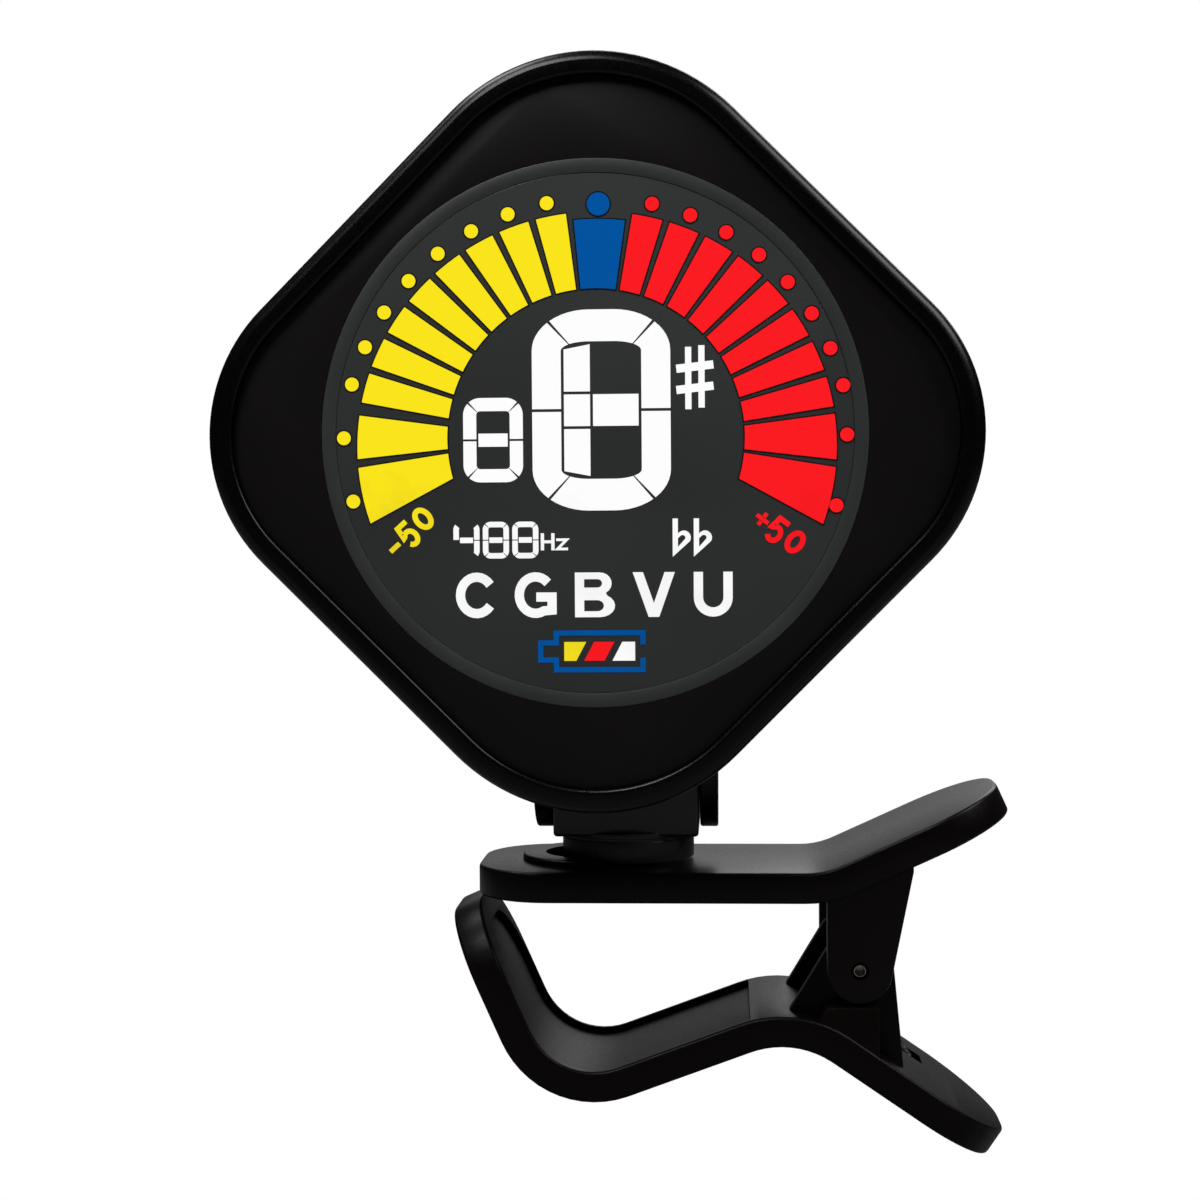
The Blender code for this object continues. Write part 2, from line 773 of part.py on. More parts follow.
def build_display(mats, tilt):
    """Window, liquid crystal cell, diffuser and the holder round them."""
    stack_disc("display_window", WINDOW_R, PANEL_Y, PANEL_THICK, mats["window"], tilt)
    stack_disc("lcd_cell", WINDOW_R, STACK_Y, LCD_THICK, mats["glass"], tilt)
    diffuser_y = STACK_Y + LCD_THICK + GAP
    stack_disc("lcd_diffuser", WINDOW_R - GAP, diffuser_y, DIFFUSER_THICK, mats["diffuser"], tilt)
    inner = WINDOW_R + GAP
    outer = inner + HOLDER_WALL
    back = diffuser_y + DIFFUSER_THICK
    solid("lcd_holder", turned(
        [(inner, STACK_Y), (outer, STACK_Y), (outer, back), (inner, back)],
        "Y", HEAD_X, HEAD_Z, 56), mats["frame"], tilt, smooth=True)
    for side in (-1, 1):
        place = HEAD_Z + side * (WINDOW_R - STRIP_INSET)
        solid("connector_strip_" + ("lower" if side < 0 else "upper"),
              box(HEAD_X - STRIP_LENGTH / 2, HEAD_X + STRIP_LENGTH / 2,
                  back + SOLDER_GAP, BOARD_Y - SOLDER_GAP,
                  place - STRIP_WIDTH / 2, place + STRIP_WIDTH / 2), mats["rubber"], tilt)


def build_rear_shell(mat, tilt):
    """Rear half of the case with the battery opening, button holes and the tilt yoke."""
    low = SPLIT_Y + GAP
    shell = solid("rear_shell", prism(head_outline(), "Y", low, REAR_Y), mat, tilt)
    cut(shell, prism(head_outline(CASE_WALL), "Y", low - 1, INNER_REAR_Y), "cavity")
    boss = SCREW_R + GAP + BOSS_WALL
    for n, (x, z) in enumerate(screw_places()):
        add(shell, disc("Y", x, z, boss, low, INNER_REAR_Y + 0.5, 24), f"boss_{n}")
        cut(shell, disc("Y", x, z, SCREW_R + FINE_GAP, low - 1, REAR_Y + 1, 20), f"screw_hole_{n}")
        cut(shell, disc("Y", x, z, SCREW_HEAD_R + FINE_GAP, REAR_Y - SCREW_HEAD_THICK - 0.4,
                        REAR_Y + 1, 24), f"screw_seat_{n}")
    cut(shell, disc("Y", HEAD_X, HEAD_Z + CELL_UP, CAP_R + GAP, INNER_REAR_Y - 1, REAR_Y + 1, 48),
        "battery_opening")
    for n, (x, z) in enumerate(button_places()):
        cut(shell, disc("Y", x, z, BUTTON_R + GAP, INNER_REAR_Y - 1, REAR_Y + 1, 28), f"button_hole_{n}")
    inner = KNUCKLE_WIDTH / 2 + GAP
    outer = YOKE_WIDTH / 2
    ear = hull(circle(0, TILT_Z, YOKE_R, 36) + [
        (REAR_Y - 0.6, TILT_Z + 1.4), (REAR_Y - 0.6, TILT_Z + 1.4 + YOKE_ROOT)])
    for n, (a, b) in enumerate(mirrored_bands(inner, outer)):
        add(shell, prism(ear, "X", a, b), f"yoke_{n}")
    cut(shell, disc("X", 0, TILT_Z, TILT_HOLE_R, -YOKE_WIDTH, YOKE_WIDTH, 24), "tilt_hole")
    return shell


def build_case_screws(mat, tilt):
    """Four self-tapping screws from the rear."""
    for n, (x, z) in enumerate(screw_places()):
        head_y = REAR_Y - 0.15
        neck_y = head_y - SCREW_HEAD_THICK
        tip_y = SPLIT_Y - SCREW_DEPTH + 0.8
        solid(f"case_screw_{n + 1}", turned(
            [(0, tip_y), (SCREW_R, tip_y + 0.5), (SCREW_R, neck_y), (SCREW_HEAD_R, neck_y),
             (SCREW_HEAD_R, head_y), (0, head_y)], "Y", x, z, 20), mat, tilt, smooth=True)


def build_battery(mats, tilt, cap_axis):
    """Coin cell, its cap with a coin slot, and two contacts."""
    z = HEAD_Z + CELL_UP
    solid("coin_cell", disc("Y", HEAD_X, z, CELL_R, CELL_Y - CELL_THICK, CELL_Y, 40),
          mats["steel"], tilt, smooth=True)
    cap = solid("battery_cap", disc("Y", HEAD_X, z, CAP_R, REAR_Y - CAP_THICK, REAR_Y, 48),
                mats["case"], cap_axis, smooth=True)
    cut(cap, box(HEAD_X - COIN_SLOT_LENGTH / 2, HEAD_X + COIN_SLOT_LENGTH / 2,
                 REAR_Y - COIN_SLOT_DEPTH, REAR_Y + 1,
                 z - COIN_SLOT_WIDTH / 2, z + COIN_SLOT_WIDTH / 2), "coin_slot")
    solid("negative_contact", box(HEAD_X - CONTACT_LENGTH / 2, HEAD_X + CONTACT_LENGTH / 2,
                                  CONTACT_Y, CONTACT_Y + CONTACT_THICK,
                                  z - CONTACT_WIDTH / 2, z + CONTACT_WIDTH / 2), mats["steel"], tilt)
    side = HEAD_X + CELL_R + GAP
    solid("positive_contact", box(side, side + 0.4, CELL_Y - CELL_THICK, CELL_Y - 0.6, z - 2.5, z + 2.5),
          mats["steel"], tilt)


def build_board(mats, tilt):
    """Circuit board with the chip, crystal, switches and the vibration sensor."""
    board_body = prism(head_outline(CASE_WALL + BOARD_MARGIN), "Y", BOARD_Y, BOARD_Y + BOARD_THICK)
    board = solid("main_board", board_body, mats["board"], tilt)
    for n, (x, z) in enumerate(screw_places()):
        notch = SCREW_R + GAP + BOSS_WALL + GAP
        cut(board, disc("Y", x, z, notch, BOARD_Y - 1, BOARD_Y + 2, 24), f"boss_notch_{n}")
    rear = BOARD_Y + BOARD_THICK + SOLDER_GAP
    z = HEAD_Z - CHIP_DROP
    x = HEAD_X - CHIP_SHIFT
    half = CHIP_SIZE / 2
    solid("control_chip", box(x - half, x + half, rear, rear + CHIP_HEIGHT, z - half, z + half),
          mats["chip"], tilt)
    z = HEAD_Z - CRYSTAL_DROP
    x = HEAD_X - CRYSTAL_SHIFT
    solid("crystal", box(x - CRYSTAL_LENGTH / 2, x + CRYSTAL_LENGTH / 2, rear, rear + CHIP_HEIGHT,
                         z - CRYSTAL_WIDTH / 2, z + CRYSTAL_WIDTH / 2), mats["steel"], tilt)
    top = INNER_REAR_Y - GAP - FLANGE_THICK - BUTTON_TRAVEL - GAP
    for name, (x, z) in zip(("power", "mode", "pitch"), button_places()):
        half = SWITCH_SIZE / 2
        solid(f"{name}_switch", box(x - half, x + half, rear, top, z - half, z + half),
              mats["chip"], tilt)
    y = INNER_REAR_Y - 0.2
    element = disc("Y", HEAD_X + PIEZO_SHIFT, HEAD_Z - PIEZO_DROP, PIEZO_R, y - PIEZO_THICK, y, 28)
    solid("piezo_sensor", element, mats["brass"], tilt, smooth=True)


def build_buttons(mat):
    """Three push buttons on the rear, each kept in by a flange inside the case."""
    for name, (x, z) in zip(("power", "mode", "pitch"), button_places()):
        flange = INNER_REAR_Y - GAP
        low = flange - FLANGE_THICK
        high = REAR_Y + BUTTON_PROUD
        wide = BUTTON_R + FLANGE_WIDTH
        solid(f"{name}_button", turned(
            [(0, low), (wide, low), (wide, flange), (BUTTON_R, flange), (BUTTON_R, high - 0.3),
             (BUTTON_R - 0.3, high), (0, high)], "Y", x, z, 28), mat, (x, REAR_Y, z), smooth=True)


# ---- assembly -----------------------------------------------------------------------------

def main():
    clear_scene()
    plastic = material("case_plastic", (0.012, 0.012, 0.013), 0.42)
    arm_plastic = material("arm_plastic", (0.016, 0.016, 0.018), 0.5)
    face = material("face_plastic", (0.007, 0.006, 0.007), 0.35)
    rubber = material("pad_rubber", (0.09, 0.09, 0.095), 0.85)
    steel = material("steel", (0.56, 0.57, 0.58), 0.3, 1.0)
    mats = {
        "case": plastic,
        "window": material("window_acrylic", (0.023, 0.024, 0.024), 0.12),
        "glass": material("lcd_glass", (0.02, 0.022, 0.022), 0.08),
        "diffuser": material("diffuser", (0.75, 0.78, 0.8), 0.6),
        "frame": material("holder_plastic", (0.6, 0.6, 0.58), 0.55),
        "rubber": rubber,
        "steel": steel,
        "board": material("board_laminate", (0.01, 0.09, 0.03), 0.5),
        "chip": material("chip_epoxy", (0.012, 0.012, 0.012), 0.6),
        "brass": material("sensor_brass", (0.62, 0.43, 0.16), 0.35, 1.0),
    }
    pivot = (PIVOT_X, 0, PIVOT_Z)
    tilt = (0, 0, TILT_Z)
    build_upper_arm(arm_plastic)
    build_upper_pad(rubber)
    build_lower_arm(arm_plastic, pivot)
    build_lower_pad(rubber, pivot)
    build_pivot_pin(steel)
    build_spring(steel)
    build_neck(arm_plastic)
    build_retaining_ring(steel)
    build_tilt_pin(steel)
    build_front_shell(plastic, tilt)
    build_face_panel(face, tilt)
    build_window_ring(plastic, tilt)
    build_display(mats, tilt)
    build_rear_shell(plastic, tilt)
    build_case_screws(steel, tilt)
    build_battery(mats, tilt, (HEAD_X, REAR_Y, HEAD_Z + CELL_UP))
    build_board(mats, tilt)
    build_buttons(rubber)


main()
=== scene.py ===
"""Clip on tuner: the looks of the display head, the swivel neck and the sprung clip."""
import math

import bmesh
import bpy
from mathutils import Matrix, Vector


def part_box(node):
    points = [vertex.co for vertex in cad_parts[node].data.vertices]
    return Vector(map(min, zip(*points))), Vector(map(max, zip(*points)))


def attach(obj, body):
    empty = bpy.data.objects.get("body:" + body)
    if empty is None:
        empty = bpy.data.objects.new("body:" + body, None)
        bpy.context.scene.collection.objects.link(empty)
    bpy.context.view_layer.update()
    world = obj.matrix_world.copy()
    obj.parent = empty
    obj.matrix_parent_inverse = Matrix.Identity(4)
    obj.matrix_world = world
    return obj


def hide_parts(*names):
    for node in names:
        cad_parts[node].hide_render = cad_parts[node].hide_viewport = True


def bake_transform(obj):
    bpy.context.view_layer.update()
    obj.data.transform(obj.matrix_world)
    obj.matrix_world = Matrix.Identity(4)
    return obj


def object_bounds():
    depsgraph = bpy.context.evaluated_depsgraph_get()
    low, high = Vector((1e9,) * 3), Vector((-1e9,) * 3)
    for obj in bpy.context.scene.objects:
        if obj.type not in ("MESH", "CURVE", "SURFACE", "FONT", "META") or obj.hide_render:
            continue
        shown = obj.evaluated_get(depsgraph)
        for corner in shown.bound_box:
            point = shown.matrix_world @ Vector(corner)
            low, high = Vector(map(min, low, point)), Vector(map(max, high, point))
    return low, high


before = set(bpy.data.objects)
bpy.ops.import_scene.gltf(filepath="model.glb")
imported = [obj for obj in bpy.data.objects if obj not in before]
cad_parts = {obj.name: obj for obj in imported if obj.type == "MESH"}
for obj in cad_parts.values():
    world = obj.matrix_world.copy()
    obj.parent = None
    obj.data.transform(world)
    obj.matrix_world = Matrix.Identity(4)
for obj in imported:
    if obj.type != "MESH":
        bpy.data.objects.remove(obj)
cad_box = [list(corner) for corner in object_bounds()]
MM = 0.001

# ------------------------
# Studio
# A plain pale floor, low enough for the opened lower jaw to clear it. Large soft lamps
# stand high in front on the left, above, high on the right and behind. The rest of the
# room is dim, apart from a bright band low behind the tuner.

studio = bpy.context.scene
studio.view_settings.view_transform = "Standard"


def lamp(name, place, target, width, depth, power):
    """Soft rectangular lamp that faces a target, in millimetres."""
    bpy.ops.object.light_add(type="AREA", location=Vector(place) * MM)
    light = bpy.context.object
    light.name = name
    light.data.shape = "RECTANGLE"
    light.data.size = width * MM
    light.data.size_y = depth * MM
    light.data.energy = power
    aim = (Vector(target) - Vector(place)).to_track_quat("-Z", "Y")
    light.rotation_euler = aim.to_euler()


lamp("front_softbox", (-160, -270, 450), (0, 0, 20), 220, 220, 1.7)
lamp("top_softbox", (-155, 56, 342), (-5, -17, 58), 150, 130, 0.45)
lamp("right_softbox", (280, -90, 300), (0, 0, 30), 200, 200, 0.8)
lamp("rear_softbox", (120, 330, 260), (0, 0, 20), 260, 220, 0.5)

world = bpy.data.worlds.new("studio_surround")
studio.world = world
world.use_nodes = True


def feed(tree, made, inputs):
    """Fills a node's inputs, each from a value, a node or a (node, output) pair."""
    for socket, value in inputs.items():
        if isinstance(value, bpy.types.Node):
            value = (value, 0)
        if isinstance(value, tuple) and isinstance(value[0], bpy.types.Node):
            tree.links.new(value[0].outputs[value[1]], made.inputs[socket])
        else:
            made.inputs[socket].default_value = value


def node(tree, kind, inputs=None, **settings):
    """Adds a node with its settings and its inputs."""
    made = tree.nodes.new("ShaderNode" + kind)
    for key, value in settings.items():
        setattr(made, key, value)
    feed(tree, made, inputs or {})
    return made


def spread(tree, source, low, high, to_low=0.0, to_high=1.0):
    """Maps one range of values onto another."""
    return node(tree, "MapRange", {0: source, 1: low, 2: high, 3: to_low, 4: to_high})


def colour(code, share=1.0):
    """Linear colour of an sRGB hex code, with its brightness multiplied by a share."""
    parts = [int(code[i:i + 2], 16) / 255 for i in (1, 3, 5)]
    linear = [c / 12.92 if c <= 0.04045 else ((c + 0.055) / 1.055) ** 2.4 for c in parts]
    return tuple(min(c * share, 1.0) for c in linear) + (1.0,)


WHITE = colour("#FFFFFF")
ROOM_LIGHT = 0.02
BAND_LIGHT = 0.6
tree = world.node_tree
tree.nodes.clear()
path = node(tree, "LightPath")
seen = node(tree, "Math", {0: (path, "Is Camera Ray"), 1: (path, "Is Transmission Ray")},
            operation="MAXIMUM")
where = node(tree, "TexCoord")
sky = node(tree, "SeparateXYZ", {0: (where, "Generated")})
above = spread(tree, (sky, "Z"), -0.02, 0.16)
behind = spread(tree, (sky, "Y"), 0.6, 0.9)
aside = node(tree, "Math", {0: (sky, "X")}, operation="ABSOLUTE")
middle = spread(tree, aside, 0.45, 0.2)
strip = node(tree, "Math", {0: above, 1: behind}, operation="MULTIPLY")
band = node(tree, "Math", {0: strip, 1: middle}, operation="MULTIPLY")
level = spread(tree, band, 0, 1, ROOM_LIGHT, BAND_LIGHT)
soft = node(tree, "Background", {"Color": WHITE, "Strength": level})
white = node(tree, "Background", {"Color": WHITE, "Strength": 1.0})
mix = node(tree, "MixShader", {0: seen, 1: soft, 2: white})
node(tree, "OutputWorld", {"Surface": mix})

OPEN_JAW_ROOM = 16
FLOOR_SIZE = 1600
bpy.ops.mesh.primitive_plane_add(size=FLOOR_SIZE * MM,
                                 location=(0, 0, cad_box[0][2] - OPEN_JAW_ROOM * MM))
floor = bpy.context.object
floor.name = "studio_floor"
card = bpy.data.materials.new("White card")
card.use_nodes = True
tree = card.node_tree
tree.nodes.clear()
path = node(tree, "LightPath")
matte = node(tree, "BsdfDiffuse", {"Color": colour("#7A7A7A")})
lit = node(tree, "Emission", {"Color": WHITE, "Strength": 1.0})
mix = node(tree, "MixShader", {0: (path, "Is Camera Ray"), 1: matte, 2: lit})
node(tree, "OutputMaterial", {"Surface": mix})
floor.data.materials.append(card)

CAMERA_PLACE = (8.3, -180.58, 30.25)
CAMERA_TURN = (88.07, 0.408, 3.332)
bpy.ops.object.camera_add(location=[place * MM for place in CAMERA_PLACE],
                          rotation=[math.radians(turn) for turn in CAMERA_TURN])
camera = bpy.context.object
camera.name = "studio_camera"
camera.data.lens = 64.828
camera.data.sensor_width = 36.0
camera.data.clip_start = 0.01
studio.camera = camera

# ------------------------
# Upper clip arm
# Black ABS moulding: a flat jaw whose far end bends up into the squeeze tab, a raised
# oval collar for the neck and two ears for the pivot pin. Its outer edges are softened.

ARM_WIDTH = 16.5
ARM_THICK = 2.5
ARM_HALF = ARM_THICK / 2
ARM_EASE = 0.28
TAB_ROUND = 7.0
TIP_ROUND = 6.0
UPPER_LINE = ((-12.3, 1.25), (16.35, 1.25), (30.9, 7.881))
UPPER_BEND = (8.0,)
ARM_TOP = UPPER_LINE[0][1] + ARM_HALF
EAR_R = 2.6
EAR_THICK = 1.45
EAR_OUTER = ARM_WIDTH / 2 - 0.15
HOLE_R = 0.72
CUT_REACH = 9


def rest():
    """Leaves edit mode and deselects everything."""
    if bpy.context.object and bpy.context.object.mode != "OBJECT":
        bpy.ops.object.mode_set(mode="OBJECT")
    bpy.ops.object.select_all(action="DESELECT")


def choose(piece, *others):
    """Selects a piece, with others if given, and makes it the active one."""
    rest()
    for other in (piece, *others):
        other.select_set(True)
    bpy.context.view_layer.objects.active = piece


def take(level, test):
    """In edit mode, selects the vertices, edges or faces that pass a test, in millimetres."""
    mesh = bpy.context.object.data
    bpy.ops.mesh.select_mode(type=level)
    bpy.ops.mesh.select_all(action="DESELECT")
    form = bmesh.from_edit_mesh(mesh)
    for part in {"VERT": form.verts, "EDGE": form.edges, "FACE": form.faces}[level]:
        points = [part] if level == "VERT" else part.verts
        part.select_set(all(test(point.co / MM) for point in points))
    form.select_flush_mode()
    bmesh.update_edit_mesh(mesh)


def opened(piece):
    """Opens a piece for editing."""
    choose(piece)
    bpy.ops.object.mode_set(mode="EDIT")


def pick_all():
    bpy.ops.mesh.select_all(action="SELECT")


def closed():
    """Turns the faces of the piece being edited outwards and leaves edit mode."""
    pick_all()
    bpy.ops.mesh.normals_make_consistent(inside=False)
    rest()


def thickened(*way):
    """Pulls the flat outline being edited out into a solid, in millimetres."""
    pick_all()
    bpy.ops.mesh.extrude_region_move(TRANSFORM_OT_translate={"value": [step * MM for step in way]})
    closed()


def settle(piece, name):
    """Names a new primitive and puts its place, turn and size into its mesh."""
    piece.name = name
    piece.data.name = name
    choose(piece)
    bpy.ops.object.transform_apply(location=True, rotation=True, scale=True)
    return piece


AXIS_TURN = {"X": (0, math.pi / 2, 0), "Y": (math.pi / 2, 0, 0), "Z": (0, 0, 0)}


def rod(name, axis, place, radius, low, high, count=64):
    """Cylinder along an axis, through a place and between two ends on the axis."""
    place = Vector(place)
    place["XYZ".index(axis)] = (low + high) / 2
    rest()
    bpy.ops.mesh.primitive_cylinder_add(vertices=count, radius=radius * MM, depth=(high - low) * MM,
                                        location=place * MM, rotation=AXIS_TURN[axis])
    return settle(bpy.context.object, name)


def block(name, low, high):
    """Box between two corners."""
    rest()
    low, high = Vector(low), Vector(high)
    bpy.ops.mesh.primitive_cube_add(size=1, location=(low + high) / 2 * MM)
    bpy.context.object.scale = (high - low) * MM
    return settle(bpy.context.object, name)


def modify(piece, kind, **settings):
    """Adds a modifier and applies it."""
    choose(piece)
    mod = piece.modifiers.new(kind.lower(), kind)
    for key, value in settings.items():
        setattr(mod, key, value)
    bpy.ops.object.modifier_apply(modifier=mod.name)


def combined(piece, operation, others):
    """Boolean of a piece with others, which are used up."""
    for other in others:
        modify(piece, "BOOLEAN", operation=operation, solver="EXACT", object=other)
        bpy.data.objects.remove(other)
    return piece


def joined(piece, *others):
    return combined(piece, "UNION", others)


def without(piece, *cutters):
    return combined(piece, "DIFFERENCE", cutters)


def wrapped(name, *parts):
    """Closed skin stretched round several shapes, with its flat faces merged."""
    choose(*parts)
    bpy.ops.object.join()
    piece = settle(bpy.context.object, name)
    opened(piece)
    pick_all()
    bpy.ops.mesh.convex_hull()
    pick_all()
    bpy.ops.mesh.dissolve_limited(angle_limit=math.radians(0.5))
    rest()
    return piece


def eased(piece, width, segments=3, angle=40):
    """Rounds every edge sharper than an angle."""
    modify(piece, "BEVEL", width=width * MM, segments=segments, limit_method="ANGLE",
           angle_limit=math.radians(angle))
    return piece


def smoothed(piece, angle=32):
    choose(piece)
    bpy.ops.object.shade_smooth_by_angle(angle=math.radians(angle))


def flat_blank(name, start, length, width, tip_round, tail_round, low, high, ease=0):
    """Flat strip along X, rounded at its tip and its tail in plan, still to be bent."""
    rest()
    bpy.ops.mesh.primitive_plane_add(size=1, location=((start + length / 2) * MM, 0, low * MM))
    strip = bpy.context.object
    strip.scale = (length * MM, width * MM, 1)
    opened(settle(strip, name))
    for end, radius in ((start, tip_round), (start + length, tail_round)):
        if radius:
            take("VERT", lambda p: abs(p.x - end) < 0.01)
            bpy.ops.mesh.bevel(offset=radius * MM, segments=14, affect="VERTICES")
    thickened(0, 0, high - low)
    if ease:
        eased(strip, ease, 3, 60)
    return strip


def line_curve(name, runs, **settings):
    """Curve object of straight runs through points, in millimetres."""
    data = bpy.data.curves.new(name, "CURVE")
    for key, value in settings.items():
        setattr(data, key, value)
    for run in runs:
        spline = data.splines.new("POLY")
        spline.points.add(len(run) - 1)
        spline.use_cyclic_u = data.dimensions == "2D"
        for point, place in zip(spline.points, run):
            point.co = (*(c * MM for c in place), 1)
    piece = bpy.data.objects.new(name, data)
    bpy.context.collection.objects.link(piece)
    return piece


ARC_STEPS = 24
FIRST_SLICE = 0.37
SLICE_STEP = 0.8


def bent(piece, line, bends):
    """Slices a flat blank across and bends it along a side line with rounded corners."""
    points = [Vector(c) for c in line]
    route = [points[0]]
    for i, radius in enumerate(bends, 1):
        before = (points[i] - points[i - 1]).normalized()
        after = (points[i + 1] - points[i]).normalized()
        turn = math.atan2(before.cross(after), before.dot(after))
        begin = points[i] - before * radius * math.tan(abs(turn) / 2)
        middle = begin + Vector((-before.y, before.x)) * math.copysign(radius, turn)
        for k in range(ARC_STEPS + 1):
            route.append(middle + Matrix.Rotation(turn * k / ARC_STEPS, 2) @ (begin - middle))
    route.append(points[-1])
    guide = line_curve("bend_line", [[(place.x, 0, place.y) for place in route]],
                       dimensions="3D", twist_mode="Z_UP")
    length = sum((two - one).length for one, two in zip(route, route[1:]))
    opened(piece)
    x = FIRST_SLICE
    while x < length:
        pick_all()
        bpy.ops.mesh.bisect(plane_co=(x * MM, 0, 0), plane_no=(1, 0, 0))
        x += SLICE_STEP
    modify(piece, "CURVE", object=guide, deform_axis="POS_X")
    bpy.data.objects.remove(guide)
    return piece


def line_length(line, bends):
    """Length of a side line with rounded corners."""
    points = [Vector(c) for c in line]
    total = sum((b - a).length for a, b in zip(points, points[1:]))
    for i, radius in enumerate(bends, 1):
        turn = abs((points[i] - points[i - 1]).angle(points[i + 1] - points[i]))
        total += radius * turn - 2 * radius * math.tan(turn / 2)
    return total


def fin(arm, side, near, far, radius, roots, ease):
    """Adds a fin on one side of an arm: a skin round an end on the pin and its roots.

    A root is the low and high corners of a small block in side view."""
    inner, outer = sorted((side * near, side * far))
    parts = [rod("fin", "Y", pivot, radius, inner, outer)] if radius else []
    for low, high in roots:
        parts.append(block("fin", (low[0], inner, low[1]), (high[0], outer, high[1])))
    joined(arm, eased(wrapped("fin", *parts), ease, 2, 60))


pivot = (sum(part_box("pivot_pin"), Vector()) / 2) / MM
upper_length = line_length(UPPER_LINE, UPPER_BEND)
upper_arm = flat_blank("clip_upper_arm", 0, upper_length, ARM_WIDTH, TIP_ROUND, TAB_ROUND,
                       -ARM_HALF, ARM_HALF, ARM_EASE)
bent(upper_arm, UPPER_LINE, UPPER_BEND)
EAR_ROOTS = (((pivot.x - EAR_R, 1.0), (pivot.x - EAR_R + 1, 1.4)),
             ((pivot.x + 3.3, 2.6), (pivot.x + 4.3, 3.3)))
for side in (-1, 1):
    fin(upper_arm, side, EAR_OUTER, EAR_OUTER - EAR_THICK, EAR_R, EAR_ROOTS, ease=0.14)
without(upper_arm, rod("pin_hole", "Y", pivot, HOLE_R, -CUT_REACH, CUT_REACH, 32))

# The collar is open on one side, where the drum stands in it, and hollow on the other.
drum_low, drum_high = (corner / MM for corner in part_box("swivel_neck"))
DRUM_R = drum_high.y
SPIGOT_R = 2.3
SEAT_GAP = 0.3
COLLAR_R = 5.9
COLLAR_SHIFT = 2.95
COLLAR_HEIGHT = 0.55
COLLAR_END = -1.9
WELL_R = 3.8
WELL_SHIFT = 3.15
WELL_FLOOR = 1.9
collar = wrapped("collar", *[rod("collar", "Z", (x, 0, 0), COLLAR_R, ARM_TOP - 0.4, ARM_TOP + COLLAR_HEIGHT)
                             for x in (-COLLAR_SHIFT, 0)])
eased(collar, 0.25, 3, 60)
joined(upper_arm, collar)
without(upper_arm,
        rod("drum_seat", "Z", (0, 0, 0), DRUM_R + SEAT_GAP, ARM_TOP, 5, 96),
        block("collar_end", (COLLAR_END, -8, ARM_TOP), (9, 8, 4)),
        rod("collar_well", "Z", (-WELL_SHIFT, 0, 0), WELL_R, WELL_FLOOR, 5, 64),
        rod("spigot_hole", "Z", (0, 0, 0), SPIGOT_R + SEAT_GAP, -1, 4, 48))
SEAT_START = -11.4
SEAT_LENGTH = 23.7
SEAT_EDGE = 0.9
SEAT_DEPTH = 0.8
without(upper_arm, flat_blank("pad_seat", SEAT_START, SEAT_LENGTH, ARM_WIDTH - 2 * SEAT_EDGE,
                              TIP_ROUND - SEAT_EDGE, 0, -1.0, SEAT_DEPTH))
smoothed(upper_arm)


def blank_finish(name):
    """New material, with its node tree, its shader and its object coordinates."""
    made = bpy.data.materials.new(name)
    made.use_nodes = True
    tree = made.node_tree
    return made, tree, tree.nodes["Principled BSDF"], (node(tree, "TexCoord"), "Object")


def noise(tree, where, grain, detail, roughness=0.5):
    """Noise with a grain in millimetres."""
    return node(tree, "TexNoise", {"Vector": where, "Scale": 1 / (grain * MM),
                                   "Detail": detail, "Roughness": roughness})


def ramp(tree, source, low, high, low_place=0.0, high_place=1.0):
    """Colours a value, from one colour at a low place to another at a high place."""
    made = node(tree, "ValToRGB", {0: source})
    ends = made.color_ramp.elements
    ends[0].position = low_place
    ends[0].color = low
    ends[1].position = high_place
    ends[1].color = high
    return made


def moulded(name, code, roughness, grain, depth, sheen):
    """Spark-textured moulding: a fine leathery bump and a slight change of gloss."""
    made, tree, shader, where = blank_finish(name)
    spark = noise(tree, where, grain, 3.0, 0.6)
    cloud = noise(tree, where, 9, 4.0, 0.65)
    tint = ramp(tree, cloud, colour(code, 0.86), colour(code, 1.12), 0.3, 0.7)
    gloss = spread(tree, spark, 0.3, 0.7, roughness - 0.05, roughness + 0.06)
    bump = node(tree, "Bump", {"Height": spark, "Strength": 0.35, "Distance": depth * MM})
    feed(tree, shader, {"Base Color": tint, "Roughness": gloss, "Normal": bump,
                        "Specular IOR Level": sheen, "IOR": 1.53})
    return made


def ready(piece, body, slot, finish, *nodes):
    """Gives a finished piece its material, its body and the CAD nodes it stands for."""
    piece.data.materials.clear()
    piece.data.materials.append(finish)
    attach(piece, body)
    if nodes:
        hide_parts(*nodes)
    rest()


arm_abs = moulded("ABS, moulded, clip", "#0A0605", 0.34, 0.22, 0.008, 0.15)
ready(upper_arm, "clip_upper", "arm_plastic", arm_abs, "upper_arm")

# ------------------------
# Upper jaw pad
# Soft TPR strip with a smooth satin face, glued into the flat of the jaw. It gives the eye
# a dull, slightly grey black beside the harder plastic.

pad_low, pad_high = (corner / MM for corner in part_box("upper_jaw_pad"))
upper_pad = flat_blank("jaw_pad_upper", pad_low.x, pad_high.x - pad_low.x, pad_high.y - pad_low.y,
                       TIP_ROUND - 1, 0, pad_low.z, pad_high.z, 0.12)
smoothed(upper_pad)
pad_tpr = moulded("TPR, moulded, grip pad", "#1E1F22", 0.6, 0.3, 0.01, 0.3)
ready(upper_pad, "clip_upper", "pad_rubber", pad_tpr, "upper_jaw_pad")

# ------------------------
# Lower clip arm
# Black ABS moulding: a hooked jaw with a lipped channel for its pad, two webs inside the
# upper arm's ears, a lug below each ear, and a squeeze tab with a spring pocket.

